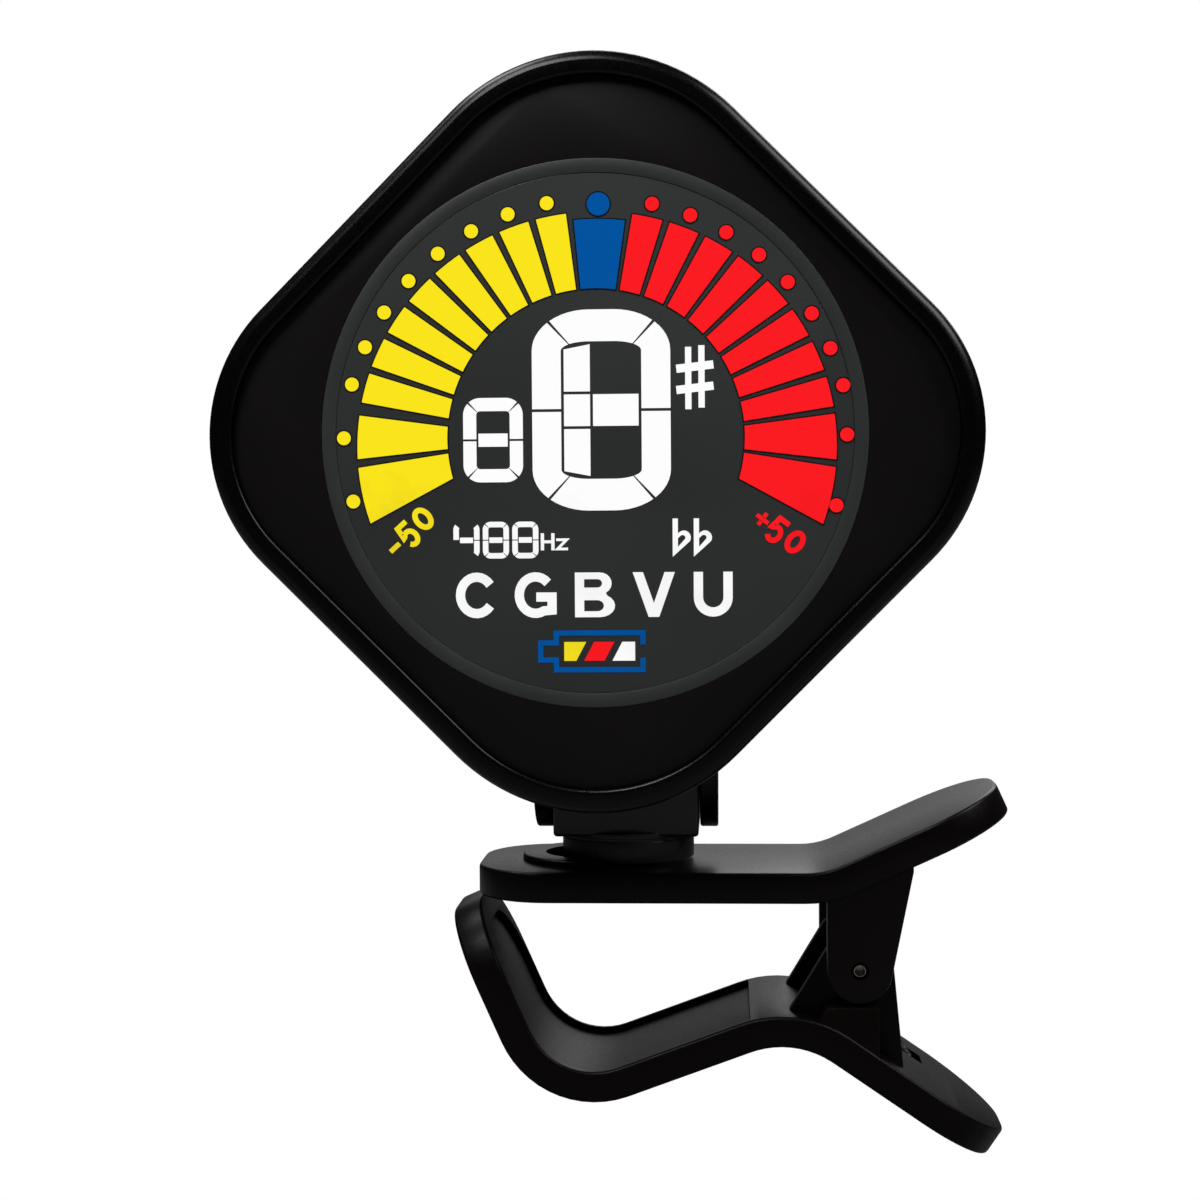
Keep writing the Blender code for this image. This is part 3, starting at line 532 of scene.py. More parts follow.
LOWER_LINE = ((-13.3, -0.9), (-6.255, -16.72), (13.75, -9.32), (30.25, -20.533))
LOWER_BEND = (6.9, 8.5)
LIP = 0.6
CHANNEL_START = 2.2
CHANNEL_LENGTH = 30.2
CHANNEL_WIDTH = ARM_WIDTH - 2 * LIP
CHANNEL_ROUND = TIP_ROUND + 0.4
CHANNEL_GAP = 0.1
PAD_THICK = 0.5
PAD_TOP = ARM_HALF - LIP
WEB_R = 2.85
WEB_THICK = 1.4
WEB_OUTER = EAR_OUTER - EAR_THICK - 0.9
WEB_ROOTS = (((12.9, -9.9), (13.1, -9.7)), ((22.3, -15.6), (22.6, -15.2)))
LUG_PARTS = (((16.15, pivot.z - 3.1), (20.35, pivot.z - 2.9)),
             ((15.15, -10.4), (15.35, -10.1)),
             ((20.05, -14.0), (20.35, -13.8)))
POCKET_LENGTH = 3.2
POCKET_WIDTH = 2.8
POCKET_DEPTH = 1.1
POCKET_Y = 2.85
POCKET_FROM_END = 7.67

lower_length = line_length(LOWER_LINE, LOWER_BEND)
lower_arm = flat_blank("clip_lower_arm", 0, lower_length, ARM_WIDTH, TIP_ROUND, TAB_ROUND,
                       -ARM_HALF, ARM_HALF, ARM_EASE)
channel = flat_blank("pad_channel", CHANNEL_START - CHANNEL_GAP, CHANNEL_LENGTH + 2 * CHANNEL_GAP,
                     CHANNEL_WIDTH, CHANNEL_ROUND, 0, PAD_TOP - PAD_THICK - 0.08, ARM_HALF + 2)
pocket_end = lower_length - POCKET_FROM_END
pocket = block("spring_pocket",
               (pocket_end - POCKET_LENGTH, POCKET_Y - POCKET_WIDTH / 2, ARM_HALF - POCKET_DEPTH),
               (pocket_end, POCKET_Y + POCKET_WIDTH / 2, ARM_HALF + 1))
without(lower_arm, channel, pocket)
bent(lower_arm, LOWER_LINE, LOWER_BEND)
for side in (-1, 1):
    fin(lower_arm, side, WEB_OUTER, WEB_OUTER - WEB_THICK, WEB_R, WEB_ROOTS, ease=0.12)
    fin(lower_arm, side, WEB_OUTER - 0.1, EAR_OUTER, 0, LUG_PARTS, ease=0.14)
without(lower_arm, rod("pin_hole", "Y", pivot, HOLE_R, -CUT_REACH, CUT_REACH, 32))
smoothed(lower_arm)
# A copy of the clip plastic with less sheen and more roughness than the upper arm's: painted shade for the
# shadow the head and the upper arm cast on the lower arm.
lower_abs_shaded = moulded("ABS, moulded, lower clip, painted shade", "#0A0605", 0.38, 0.22, 0.008, 0.11)
ready(lower_arm, "clip_lower", "arm_plastic", lower_abs_shaded, "lower_arm")

# ------------------------
# Lower jaw pad
# The same TPR strip, longer, pressed into the channel so that it follows the hook and
# stops short of the top of the lips.

lower_pad = flat_blank("jaw_pad_lower", CHANNEL_START, CHANNEL_LENGTH, CHANNEL_WIDTH - CHANNEL_GAP,
                       CHANNEL_ROUND, 0, PAD_TOP - PAD_THICK, PAD_TOP, 0.12)
bent(lower_pad, LOWER_LINE, LOWER_BEND)
smoothed(lower_pad)
ready(lower_pad, "clip_lower", "pad_rubber", pad_tpr, "lower_jaw_pad")

# ------------------------
# Pivot pin
# Nickel-plated steel pin with a blind bore in each end and rounded rims. It is pressed
# through both ears and free in the webs.

BORE_R = 0.4
BORE_DEPTH = 1.2
pin_low, pin_high = (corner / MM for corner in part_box("pivot_pin"))
pivot_pin = rod("hinge_pin", "Y", pivot, pin_high.z - pivot.z, pin_low.y, pin_high.y, 48)
without(pivot_pin,
        rod("pin_bore", "Y", pivot, BORE_R, pin_low.y - 1, pin_low.y + BORE_DEPTH, 48),
        rod("pin_bore", "Y", pivot, BORE_R, pin_high.y - BORE_DEPTH, pin_high.y + 1, 48))
eased(pivot_pin, 0.04, 2, 60)
smoothed(pivot_pin)


def steel_finish(name, code, roughness, streak, axis):
    """Drawn or plated steel: fine streaks along one axis and a faint waviness of gloss."""
    made, tree, shader, where = blank_finish(name)
    long = [0.05 if letter == axis else 1.0 for letter in "XYZ"]
    lay = node(tree, "Mapping", {"Vector": where, "Scale": long})
    lines = noise(tree, lay, streak, 3.0)
    tint = ramp(tree, lines, colour(code, 0.8), colour(code))
    gloss = spread(tree, lines, 0.3, 0.7, roughness - 0.08, roughness + 0.1)
    bump = node(tree, "Bump", {"Height": lines, "Strength": 0.2, "Distance": 0.01 * MM})
    feed(tree, shader, {"Base Color": tint, "Roughness": gloss, "Normal": bump, "Metallic": 1.0})
    return made


pin_steel = steel_finish("Steel, nickel plated, pin", "#B8B6B2", 0.3, 0.25, "Y")
ready(pivot_pin, "clip_upper", "steel", pin_steel, "pivot_pin")

# ------------------------
# Torsion spring
# Piano-wire coil round the pin with one leg against each tab. In the real tuner it winds up
# as the tabs are squeezed; here it is built at rest and is not attached to either arm.

spring_low, spring_high = (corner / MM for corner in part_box("torsion_spring"))
WIRE_R = 0.32
COIL_R = 1.55
COIL_TURNS = 6
TURN_STEPS = 32
LEG_STEPS = 5
coil_half = -2.85
upper_foot = Vector((pivot.x + 3.6, coil_half, spring_high.z - 0.1))
lower_foot = Vector((23.56, -coil_half, spring_low.z + 0.3))


def tangent_angle(foot, turn):
    """Angle on the coil where a leg to a foot leaves it without a kink."""
    dx, dz = foot.x - pivot.x, foot.z - pivot.z
    return math.atan2(dz, dx) + turn * math.acos(COIL_R / math.hypot(dx, dz))


def on_coil(angle, y):
    return Vector((pivot.x + COIL_R * math.cos(angle), y, pivot.z + COIL_R * math.sin(angle)))


first = tangent_angle(upper_foot, 1)
last = tangent_angle(lower_foot, -1)
sweep = 2 * math.pi * COIL_TURNS + (last - first) % (2 * math.pi)
spring_points = [upper_foot.lerp(on_coil(first, coil_half), k / LEG_STEPS) for k in range(LEG_STEPS)]
for k in range(COIL_TURNS * TURN_STEPS + 1):
    share = k / (COIL_TURNS * TURN_STEPS)
    spring_points.append(on_coil(first + sweep * share, coil_half * (1 - 2 * share)))
coil_end = spring_points[-1]
spring_points += [coil_end.lerp(lower_foot, k / LEG_STEPS) for k in range(1, LEG_STEPS + 1)]
choose(line_curve("torsion_wire", [spring_points], dimensions="3D", bevel_depth=WIRE_R * MM,
                  bevel_resolution=5, use_fill_caps=True))
bpy.ops.object.convert(target="MESH")
spring = bpy.context.object
smoothed(spring, 50)
spring_steel = steel_finish("Spring steel, drawn wire", "#8E8D8A", 0.32, 0.18, "Y")
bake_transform(spring)
spring.data.materials.append(spring_steel)
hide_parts("torsion_spring")

# ------------------------
# Swivel neck
# Black acetal moulding: a turntable drum that sits in the collar and a flat-sided knuckle
# for the tilt pin. A parting groove runs round the drum near its top.

tilt = (sum(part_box("tilt_pin"), Vector()) / 2) / MM
DRUM_FLOOR = 2.8
DRUM_TOP = 5.2
GROOVE = (4.5, 4.78)
GROOVE_DEPTH = 0.08
TILT_HOLE_R = 0.88
KNUCKLE_R = 5.4
KNUCKLE_HALF = 5.95
KNUCKLE_FOOT = 4.8
drum = rod("neck_drum", "Z", (0, 0, 0), DRUM_R, DRUM_FLOOR, DRUM_TOP, 128)
opened(drum)
for z in GROOVE:
    pick_all()
    bpy.ops.mesh.bisect(plane_co=(0, 0, z * MM), plane_no=(0, 0, 1))
take("FACE", lambda p: GROOVE[0] - 0.01 < p.z < GROOVE[1] + 0.01)
bpy.ops.mesh.inset(depth=-GROOVE_DEPTH * MM)
eased(drum, 0.14, 3, 50)
knuckle = wrapped("knuckle",
                  rod("knuckle_top", "X", tilt, KNUCKLE_R, -KNUCKLE_HALF, KNUCKLE_HALF, 96),
                  block("knuckle_foot", (-KNUCKLE_HALF, -KNUCKLE_FOOT, DRUM_TOP - 0.3),
                        (KNUCKLE_HALF, KNUCKLE_FOOT, DRUM_TOP)))
eased(knuckle, 0.3, 4, 60)
joined(drum, knuckle, rod("neck_spigot", "Z", (0, 0, 0), SPIGOT_R, drum_low.z, DRUM_FLOOR + 0.4, 48))
without(drum, rod("tilt_hole", "X", tilt, TILT_HOLE_R, -8, 8, 32))
smoothed(drum)
# The neck's base is lighter and its sheen stronger than the arms' black: painted light for the soft front
# highlight on the drum and the knuckle.
neck_pom_lit = moulded("Acetal, moulded, neck, painted highlight", "#231E1F", 0.38, 0.2, 0.006, 0.4)
ready(drum, "neck", "arm_plastic", neck_pom_lit, "swivel_neck")

# ------------------------
# Neck retaining ring and tilt pin
# Spring-steel ring snapped on the spigot inside the upper arm, and a steel pin with
# rounded ends through the yoke and the knuckle.

stamped_steel = steel_finish("Spring steel, stamped", "#A9A8A5", 0.35, 0.3, "X")


def refinish(finish, *names):
    """Gives CAD nodes a finish in all their slots."""
    for name in names:
        for slot in bpy.data.objects[name].material_slots:
            slot.material = finish


refinish(stamped_steel, "neck_retaining_ring")
tilt_low, tilt_high = (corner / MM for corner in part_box("tilt_pin"))
tilt_pin = rod("tilt_axle", "X", tilt, tilt_high.y, tilt_low.x, tilt_high.x, 48)
eased(tilt_pin, 0.2, 3, 60)
smoothed(tilt_pin)
ready(tilt_pin, "head", "steel", pin_steel, "tilt_pin")

# ------------------------
# Front case shell
# Glossy black ABS half: a rounded square stood on its corner, with a convex rim round the
# recessed face, a ledge under the face panel and four bosses for the case screws.

shell_low, shell_high = (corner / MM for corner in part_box("front_shell"))
window_low, window_high = (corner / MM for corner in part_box("display_window"))
head = (window_low + window_high) / 2
HEAD_APOTHEM = 24.9
SIDE_R = 13.7
TOP_R = 15.2
RIM = 1.9
SHELL_FRONT = shell_low.y
SPLIT = round(shell_high.y, 3)
PANEL_FRONT = window_low.y
PANEL_THICK = 0.9
LEDGE = round(PANEL_FRONT + PANEL_THICK + 0.02, 3)
SPLIT_EASE = 0.12
RIM_ROUND = 1.15
MOUTH_EASE = 0.3
BOSS_FRONT = -15.6
BOSS_R = 2.08
THREAD_R = 0.82


def head_blank(name, inset, front, back):
    """Rounded square on its corner, set in from the case outline, standing across Y."""
    rest()
    size = HEAD_APOTHEM - inset
    bpy.ops.mesh.primitive_circle_add(vertices=4, radius=size * math.sqrt(2) * MM, fill_type="NGON",
                                      location=(head.x * MM, front * MM, head.z * MM),
                                      rotation=(math.pi / 2, 0, 0))
    blank = settle(bpy.context.object, name)
    opened(blank)
    for radius, axis in ((SIDE_R, 2), (TOP_R, 0)):
        take("VERT", lambda p: abs(p[axis] - head[axis]) < 0.1)
        bpy.ops.mesh.bevel(offset=(radius - inset) * MM, segments=28, affect="VERTICES")
    thickened(0, back - front, 0)
    return blank


def edge_at(piece, y, width, segments):
    """Rounds the edge loops of a blank that lie in one plane across Y."""
    opened(piece)
    take("EDGE", lambda p: abs(p.y - y) < 0.005)
    bpy.ops.mesh.bevel(offset=width * MM, segments=segments, affect="EDGES")
    rest()


front_shell = head_blank("case_front", 0, SHELL_FRONT, SPLIT)
edge_at(front_shell, SHELL_FRONT, RIM_ROUND, 8)
edge_at(front_shell, SPLIT, SPLIT_EASE, 2)
without(front_shell,
        head_blank("panel_seat", RIM, SHELL_FRONT - 1, LEDGE),
        head_blank("case_opening", RIM + 1, SHELL_FRONT - 1, SPLIT + 1))
opened(front_shell)
take("EDGE", lambda p: abs(p.y - SHELL_FRONT) < 0.02)
bpy.ops.mesh.bevel(offset=MOUTH_EASE * MM, segments=4, affect="EDGES")
rest()
screws = [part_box(f"case_screw_{n}") for n in (1, 2, 3, 4)]
screw_places = [((low + high) / 2) / MM for low, high in screws]
for place in screw_places:
    boss = rod("screw_boss", "Y", place, BOSS_R, BOSS_FRONT, SPLIT, 32)
    without(boss, rod("screw_hole", "Y", place, THREAD_R, BOSS_FRONT + 0.8, SPLIT + 1, 24))
    joined(front_shell, boss)
smoothed(front_shell)
case_abs = moulded("ABS, moulded, glossy case", "#020101", 0.28, 0.16, 0.0004, 0.22)
ready(front_shell, "head", "case_plastic", case_abs, "front_shell")

# ------------------------
# Face panel
# Thin black polycarbonate plate glued on the ledge inside the rim, with a round hole for
# the display. It is bare, with a satin surface.

face_panel = head_blank("face_plate", RIM + 0.02, PANEL_FRONT, PANEL_FRONT + PANEL_THICK)
edge_at(face_panel, PANEL_FRONT, 0.05, 2)
ring_low, ring_high = (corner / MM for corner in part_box("window_ring"))
RING_R = (ring_high.x - ring_low.x) / 2 + 0.15
without(face_panel, rod("window_hole", "Y", head, RING_R + 0.02, -18, -14, 192))
smoothed(face_panel)
face_pc = moulded("Polycarbonate, moulded, face", "#141113", 0.42, 0.14, 0.006, 0.15)
ready(face_panel, "head", "face_plastic", face_pc, "face_panel")

# ------------------------
# Window ring
# Narrow dark grey trim ring with softened edges, pressed between the panel and the window.

RING_INNER = 19.7
window_ring = rod("window_trim", "Y", head, RING_R, PANEL_FRONT, PANEL_FRONT + PANEL_THICK, 192)
opened(window_ring)
for y in (PANEL_FRONT, PANEL_FRONT + PANEL_THICK):
    take("FACE", lambda p: abs(p.y - y) < 0.01)
    bpy.ops.mesh.inset(thickness=(RING_R - RING_INNER) * MM)
    bpy.ops.mesh.delete(type="FACE")
take("EDGE", lambda p: abs((p.xz - head.xz).length - RING_INNER) < 0.02)
bpy.ops.mesh.bridge_edge_loops()
closed()
eased(window_ring, 0.06, 2, 50)
smoothed(window_ring)
ring_abs = moulded("ABS, moulded, grey trim", "#3A3C3C", 0.45, 0.14, 0.006, 0.4)
ready(window_ring, "head", "case_plastic", ring_abs, "window_ring")

# ------------------------
# Display window
# Smoked acrylic disc, polished, that shows the dark field of the switched-on display. It
# lies almost level with the ring and the panel.

WINDOW_R = (window_high.x - window_low.x) / 2 + 0.23
WINDOW_FRONT = PANEL_FRONT + 0.04
window = rod("window_disc", "Y", head, WINDOW_R, WINDOW_FRONT, window_high.y, 192)
eased(window, 0.03, 2, 60)
smoothed(window)
smoked, tree, shader, where = blank_finish("Acrylic, smoked, polished")
haze = noise(tree, where, 14, 2.0)
field = ramp(tree, haze, colour("#3F4040"), colour("#434545"), 0.35, 0.65)
smear = spread(tree, haze, 0.3, 0.7, 0.1, 0.18)
feed(tree, shader, {"Base Color": field, "Roughness": smear, "IOR": 1.49, "Specular IOR Level": 0.3})
ready(window, "head", "window_acrylic", smoked, "display_window")

# ------------------------
# Lit display marks
# Printed and lit segments of the display: the tuning fan with its dots and scale ends, the
# note digit, the sharp and flat signs, the pitch figures, the mode letters and the battery.

MARK_THICK = 0.02


def backlit(name, code, low_code, strength=1.0):
    """Backlit ink: an even glow, a little weaker towards the foot of the display."""
    made, tree, shader, where = blank_finish(name)
    parts = node(tree, "SeparateXYZ", {0: where})
    rise = spread(tree, (parts, "Z"), (head.z - 10) * MM, (head.z + 10) * MM)
    glow = noise(tree, where, 2.5, 2.0)
    level = node(tree, "Math", {0: rise, 1: glow}, operation="ADD")
    tone = ramp(tree, level, colour(low_code), colour(code), 0.3, 0.8)
    feed(tree, shader, {"Emission Color": tone, "Emission Strength": strength, "Roughness": 0.4,
                        "Base Color": (0.001, 0.001, 0.001, 1), "Specular IOR Level": 0.05})
    return made


yellow_ink = backlit("Backlit ink, yellow", "#FAE41A", "#E4CF22")
red_ink = backlit("Backlit ink, red", "#FB1A21", "#EC161C")
blue_ink = backlit("Backlit ink, blue", "#00529E", "#004C92")
white_ink = backlit("Backlit ink, white", "#FFFFFF", "#F6F6F6", 0.98)
edge_ink, tree, shader, where = blank_finish("Printed ink, black keyline")
weave = noise(tree, where, 0.2, 2.0)
tone = ramp(tree, weave, colour("#0C0C0D"), colour("#171718"))
feed(tree, shader, {"Base Color": tone, "Roughness": 0.5, "Specular IOR Level": 0.2})


def printed(name, outlines, finish, layer=2, grow=0.0):
    """Thin raised tiles from closed outlines in display millimetres, right and up."""
    choose(line_curve(name, [[(u, v, 0) for u, v in outline] for outline in outlines],
                      dimensions="2D", fill_mode="BOTH", extrude=MARK_THICK / 2 * MM, offset=grow * MM))
    bpy.ops.object.convert(target="MESH")
    piece = bpy.context.object
    piece.rotation_euler = (math.pi / 2, 0, 0)
    piece.location = Vector((head.x, WINDOW_FRONT - layer * MARK_THICK / 2, head.z)) * MM
    opened(settle(piece, name))
    pick_all()
    bpy.ops.mesh.remove_doubles(threshold=0.002 * MM)
    closed()
    ready(piece, "head", "lcd_glass", finish)


def bend(u, v, rx, ry, start, end, count=12):
    """Points of an ellipse between two angles in degrees, counted from the right."""
    turns = [math.radians(start + (end - start) * k / count) for k in range(count + 1)]
    return [(u + rx * math.cos(turn), v + ry * math.sin(turn)) for turn in turns]


def tile(left, right, low, high):
    return [(left, low), (right, low), (right, high), (left, high)]


def ribbon(points, width, loop=False):
    """Outline of a stroke of even width along points, with mitred corners."""
    places = [Vector(p) for p in points]
    count = len(places)
    left, right = [], []
    for k, place in enumerate(places):
        ways = []
        if k or loop:
            ways.append((place - places[k - 1]).normalized())
        if k < count - 1 or loop:
            ways.append((places[(k + 1) % count] - place).normalized())
        way = (ways[0] + ways[-1]).normalized()
        side = Vector((-way.y, way.x))
        reach = width / 2 / max(side.dot(Vector((-ways[0].y, ways[0].x))), 0.35)
        left.append(tuple(place + side * reach))
        right.append(tuple(place - side * reach))
    if loop:
        return [left, right]
    return [left + right[::-1]]


# Tuning fan: wedges and dots on slightly flattened circles about one centre. The feet of
# the wedges lie on a smaller circle a little higher. The two wedges at each end are wider
# than the others, and their feet are cut short.
FAN = (0.15, -1.0)
FAN_R = 18.2
FLATTEN = 0.975
FOOT_R = 11.3
FOOT_LIFT = 0.7
DOT_RING = 19.25
DOT_R = 0.53


def wedge(start, end, reach=FAN_R, feet=None):
    first, last = feet or (start, end)
    swing = math.degrees(math.asin(FOOT_LIFT / FOOT_R))
    turns = [turn - swing * math.cos(math.radians(turn)) for turn in (last, first)]
    return (bend(*FAN, reach, reach * FLATTEN, start, end, 5)
            + bend(FAN[0], FAN[1] + FOOT_LIFT, FOOT_R, FOOT_R, *turns, 4))


def dot(turn, radius=DOT_R, ring=DOT_RING):
    u, v = bend(*FAN, ring, ring * FLATTEN, turn, turn, 1)[0]
    return bend(u, v, radius, radius, 0, 342, 19)


yellow_fan = [wedge(96.7 + 9.2 * k, 104 + 9.2 * k) for k in range(8)]
yellow_fan += [wedge(171.7, 182.4, feet=(171.7, 180.2)), wedge(184.6, 198.6, feet=(182, 191.8))]
yellow_fan += [dot(100.7 + 9.15 * k) for k in range(8)] + [dot(177.4), dot(192.4, ring=DOT_RING - 0.25)]
red_fan = [wedge(80.8 - 9.15 * k, 73.5 - 9.15 * k) for k in range(8)]
red_fan += [wedge(7.6, -3.5, feet=(7.6, -1.3)), wedge(-5.4, -19.6, feet=(-2.7, -12.8))]
red_fan += [dot(76.8 - 9 * k) for k in range(8)]
red_fan += [dot(2.4, ring=DOT_RING - 0.25), dot(-14.4, ring=DOT_RING - 0.5)]
blue_fan = [wedge(82.4, 95, FAN_R - 0.55), dot(89, 0.87, DOT_RING - 0.45)]


def segment_figure(middle, size, thick, corner, gap, bars="abcdefg"):
    """Seven-segment figure, a at the top and then clockwise, g across; elliptical corners."""
    wide, tall = size[0] / 2, size[1] / 2
    side, cap = thick
    split = math.degrees(gap / (corner[0] + corner[1]))

    def turn(sx, sy, start, end, inside):
        inset = (side, cap) if inside else (0, 0)
        rx, ry = max(corner[0] - inset[0], 0.05), max(corner[1] - inset[1], 0.05)
        arc = bend(wide - inset[0] - rx, tall - inset[1] - ry, rx, ry, start, end, 6)
        return [(middle[0] + sx * u, middle[1] + sy * v) for u, v in arc]

    made = {"g": tile(middle[0] - wide + side + gap, middle[0] + wide - side - gap,
                      middle[1] - cap / 2, middle[1] + cap / 2)}
    for sy, across, left, right in ((1, "a", "f", "b"), (-1, "d", "e", "c")):
        made[across] = (turn(-1, sy, 45 + split, 90, False) + turn(1, sy, 90, 45 + split, False)
                        + turn(1, sy, 45 + split, 90, True) + turn(-1, sy, 90, 45 + split, True))
        foot = middle[1] + sy * gap / 2
        for sx, name in ((-1, left), (1, right)):
            made[name] = ([(middle[0] + sx * wide, foot)] + turn(sx, sy, 0, 45 - split, False)
                          + turn(sx, sy, 45 - split, 0, True) + [(middle[0] + sx * (wide - side), foot)])
    return [made[name] for name in bars]


def placed(outlines, u, v):
    return [[(u + x, v + y) for x, y in outline] for outline in outlines]


# Note figure: its inside is filled by blocks, whose edges follow from the figure's sizes.
# One block split stands to the left of the middle.
NOTE_MIDDLE = (0.6, 1.8)
NOTE_SIZE = (10.5, 15.2)
NOTE_THICK = (2.2, 2.4)
NOTE_GAP = 0.22
BLOCK_SLANT = 0.38
note_digit = segment_figure(NOTE_MIDDLE, NOTE_SIZE, NOTE_THICK, (4.3, 3.1), NOTE_GAP, "abcdef")
block_reach = NOTE_SIZE[0] / 2 - NOTE_THICK[0] - NOTE_GAP
block_rise = NOTE_SIZE[1] / 2 - NOTE_THICK[1] - NOTE_GAP
block_left, block_right = NOTE_MIDDLE[0] - block_reach, NOTE_MIDDLE[0] + block_reach
block_split = block_left + 0.37 * (block_right - block_left)
near_split = block_split - NOTE_GAP / 2
bar_rise = NOTE_THICK[1] / 2
for left, right in ((block_left, near_split), (block_split + NOTE_GAP / 2, block_right)):
    note_digit.append(tile(left, right, NOTE_MIDDLE[1] - bar_rise, NOTE_MIDDLE[1] + bar_rise))
for sy in (1, -1):
    filler = [(block_left, bar_rise + NOTE_GAP), (near_split, bar_rise + NOTE_GAP),
              (near_split, block_rise), (block_left, block_rise - BLOCK_SLANT)]
    note_digit.append([(u, NOTE_MIDDLE[1] + sy * v) for u, v in filler])

# Octave figure, and the three small pitch figures in a row, the first one a four.
octave_digit = segment_figure((-7.65, -0.4), (4.55, 6.4), (1.0, 1.0), (1.3, 1.3), 0.16)
PITCH_ROW = (-9.75, -8.0)
PITCH_STEP = 2.25
pitch_figures = []
for k, bars in enumerate(("bcfg", "abcdefg", "abcdefg")):
    pitch_figures += segment_figure((PITCH_ROW[0] + PITCH_STEP * k, PITCH_ROW[1]), (2.0, 2.8),
                                    (0.42, 0.42), (0.6, 0.6), 0.08, bars)

# Sharp: two uprights and two crossbars on one slope, evenly about its middle.
SHARP_MIDDLE = (7.7, 4.2)
SHARP_SLOPE = 0.11
SHARP_HALF = 0.5
BAR_HALF = 1.4
sharp_uprights, sharp_bars = [], []
for side in (-1, 1):
    u, lean = SHARP_HALF * side, SHARP_HALF * side * SHARP_SLOPE
    fall = BAR_HALF * SHARP_SLOPE
    sharp_uprights += placed(ribbon([(u, lean - 2.35), (u, lean + 2.35)], 0.47), *SHARP_MIDDLE)
    sharp_bars += placed(ribbon([(-BAR_HALF, 0.8 * side - fall), (BAR_HALF, 0.8 * side + fall)], 0.62),
                         *SHARP_MIDDLE)

# Flats: a stem with a bowl that runs down to a point; two side by side.
FLAT = [[(0, 1.45), (0.4, 1.45), (0.4, 0.3)] + bend(0.85, 0, 0.53, 0.54, 130, -30, 8) + [(0, -1.45)],
        [(0.4, -0.05)] + bend(0.75, 0, 0.22, 0.2, 120, -30, 6) + [(0.4, -0.7)]]
flats = placed(FLAT, 5.95, -7.9) + placed(FLAT, 7.55, -7.9)

# Battery sign: half of the wall, mirrored, and a charge strip parted by two slanted cuts.
BATTERY_MIDDLE = (0.35, -16.5)
upper_wall = [(3.3, 0.5), (3.3, 1.4), (-3.3, 1.4), (-3.3, 0.65), (-4.5, 0.65)]
lower_wall = [(u, -v) for u, v in reversed(upper_wall)]
battery = placed(ribbon(upper_wall + lower_wall, 0.4), *BATTERY_MIDDLE)
CHARGE_REACH = 2.7
CHARGE_RISE = 0.72
CHARGE_SLANT = 0.38
CHARGE_CUT = 0.6
FIRST_CUT = -1.1
SECOND_CUT = 1.05


def charge(left, right):
    """Part of the charge strip; an end that isn't the strip's own is cut on the slant."""
    made = []
    for end, way in ((left, 1), (right, -1)):
        cut = abs(end) < CHARGE_REACH
        inset = way * CHARGE_CUT / 2 if cut else 0
        lean = CHARGE_SLANT if cut else 0
        made += [(end + inset + way * sign * lean, way * sign * CHARGE_RISE) for sign in (-1, 1)]
    return placed([made], *BATTERY_MIDDLE)


# Mode letters: five in a row at one pitch, each drawn about its own middle.
LETTER_PITCH = 4.5
LETTER_ROW = -12.2
RISE = 1.7
REACH = 1.6
STROKE = 0.7
rx, ry = REACH - STROKE / 2, RISE + 0.04 - STROKE / 2
bowls = [[(-1.5, RISE)] + bend(0.4, 0.87, 0.9, RISE - 0.87, 90, -60, 8)
         + bend(0.4, -0.83, 1.15, RISE - 0.83, 60, -90, 8) + [(-1.5, -RISE)]]
bowls += [[(STROKE - 1.5, v + h)] + bend(0.22, v, w, h, 90, -90, 8) + [(STROKE - 1.5, v - h)]
          for v, w, h in ((0.87, 0.35, 0.32), (-0.83, 0.48, 0.42))]
mode_signs = (
    ribbon(bend(0, 0, rx, ry, 35, 325, 22), STROKE),
    ribbon(bend(0, 0, rx, ry, 42, 300, 20) + [(rx, -1.15), (rx, -0.15), (0.05, -0.15)], STROKE),
    bowls,
    [[(-REACH, RISE), (-REACH + 0.78, RISE), (0, -0.65), (REACH - 0.78, RISE), (REACH, RISE),
      (0.4, -RISE), (-0.4, -RISE)]],
    ribbon([(-1.12, RISE)] + bend(0, -0.25, 1.12, RISE - 0.25 - STROKE / 2, 180, 360, 14)
           + [(1.12, RISE)], STROKE),
)
letters = []
for k, sign in enumerate(mode_signs):
    letters += placed(sign, LETTER_PITCH * (k - 2), LETTER_ROW)

# Unit of the pitch figures, on its own base line.
UNIT_FOOT = -8.8
for u in (-3.95, -3.15):
    letters += placed(ribbon([(0, 0), (0, 1.3)], 0.25), u, UNIT_FOOT)
letters += placed(ribbon([(-0.27, 0), (0.27, 0)], 0.22), -3.55, UNIT_FOOT + 0.65)
letters += placed(ribbon([(-0.45, 0.8), (0.35, 0.8), (-0.35, 0.1), (0.45, 0.1)], 0.2), -2.45, UNIT_FOOT)

printed("fan_yellow", yellow_fan + charge(-CHARGE_REACH, FIRST_CUT), yellow_ink)
printed("fan_red", red_fan + charge(FIRST_CUT, SECOND_CUT), red_ink)
printed("fan_blue", blue_fan + battery, blue_ink)
printed("figures_white", note_digit + octave_digit + pitch_figures + sharp_uprights + flats
        + charge(SECOND_CUT, CHARGE_REACH), white_ink)
printed("sharp_crossbars", sharp_bars, white_ink, 2.2)
printed("keyline_fan", yellow_fan + red_fan + blue_fan, edge_ink, 1, 0.1)
printed("mode_letters", letters, white_ink)


def scale_text(name, sign, place, turn, finish):
    """Sign, five and nought of the scale, drawn upright and then turned about their middle."""
    five = [(0.95, 1.62), (-0.25, 1.62), (-0.42, 0.75)] + bend(0.22, 0.42, 0.62, 0.56, 140, -146, 13)
    made = sign + ribbon([(0.72 * x - 0.35, y) for x, y in five], 0.4)
    made += ribbon(bend(1.45, 0.88, 0.5, 0.74, 0, 342, 19), 0.42, True)
    c, s = math.cos(math.radians(turn)), math.sin(math.radians(turn))
    turned = [[(x * c - y * s, x * s + y * c) for x, y in outline] for outline in placed(made, 0, -0.88)]
    printed(name, placed(turned, *place), finish)


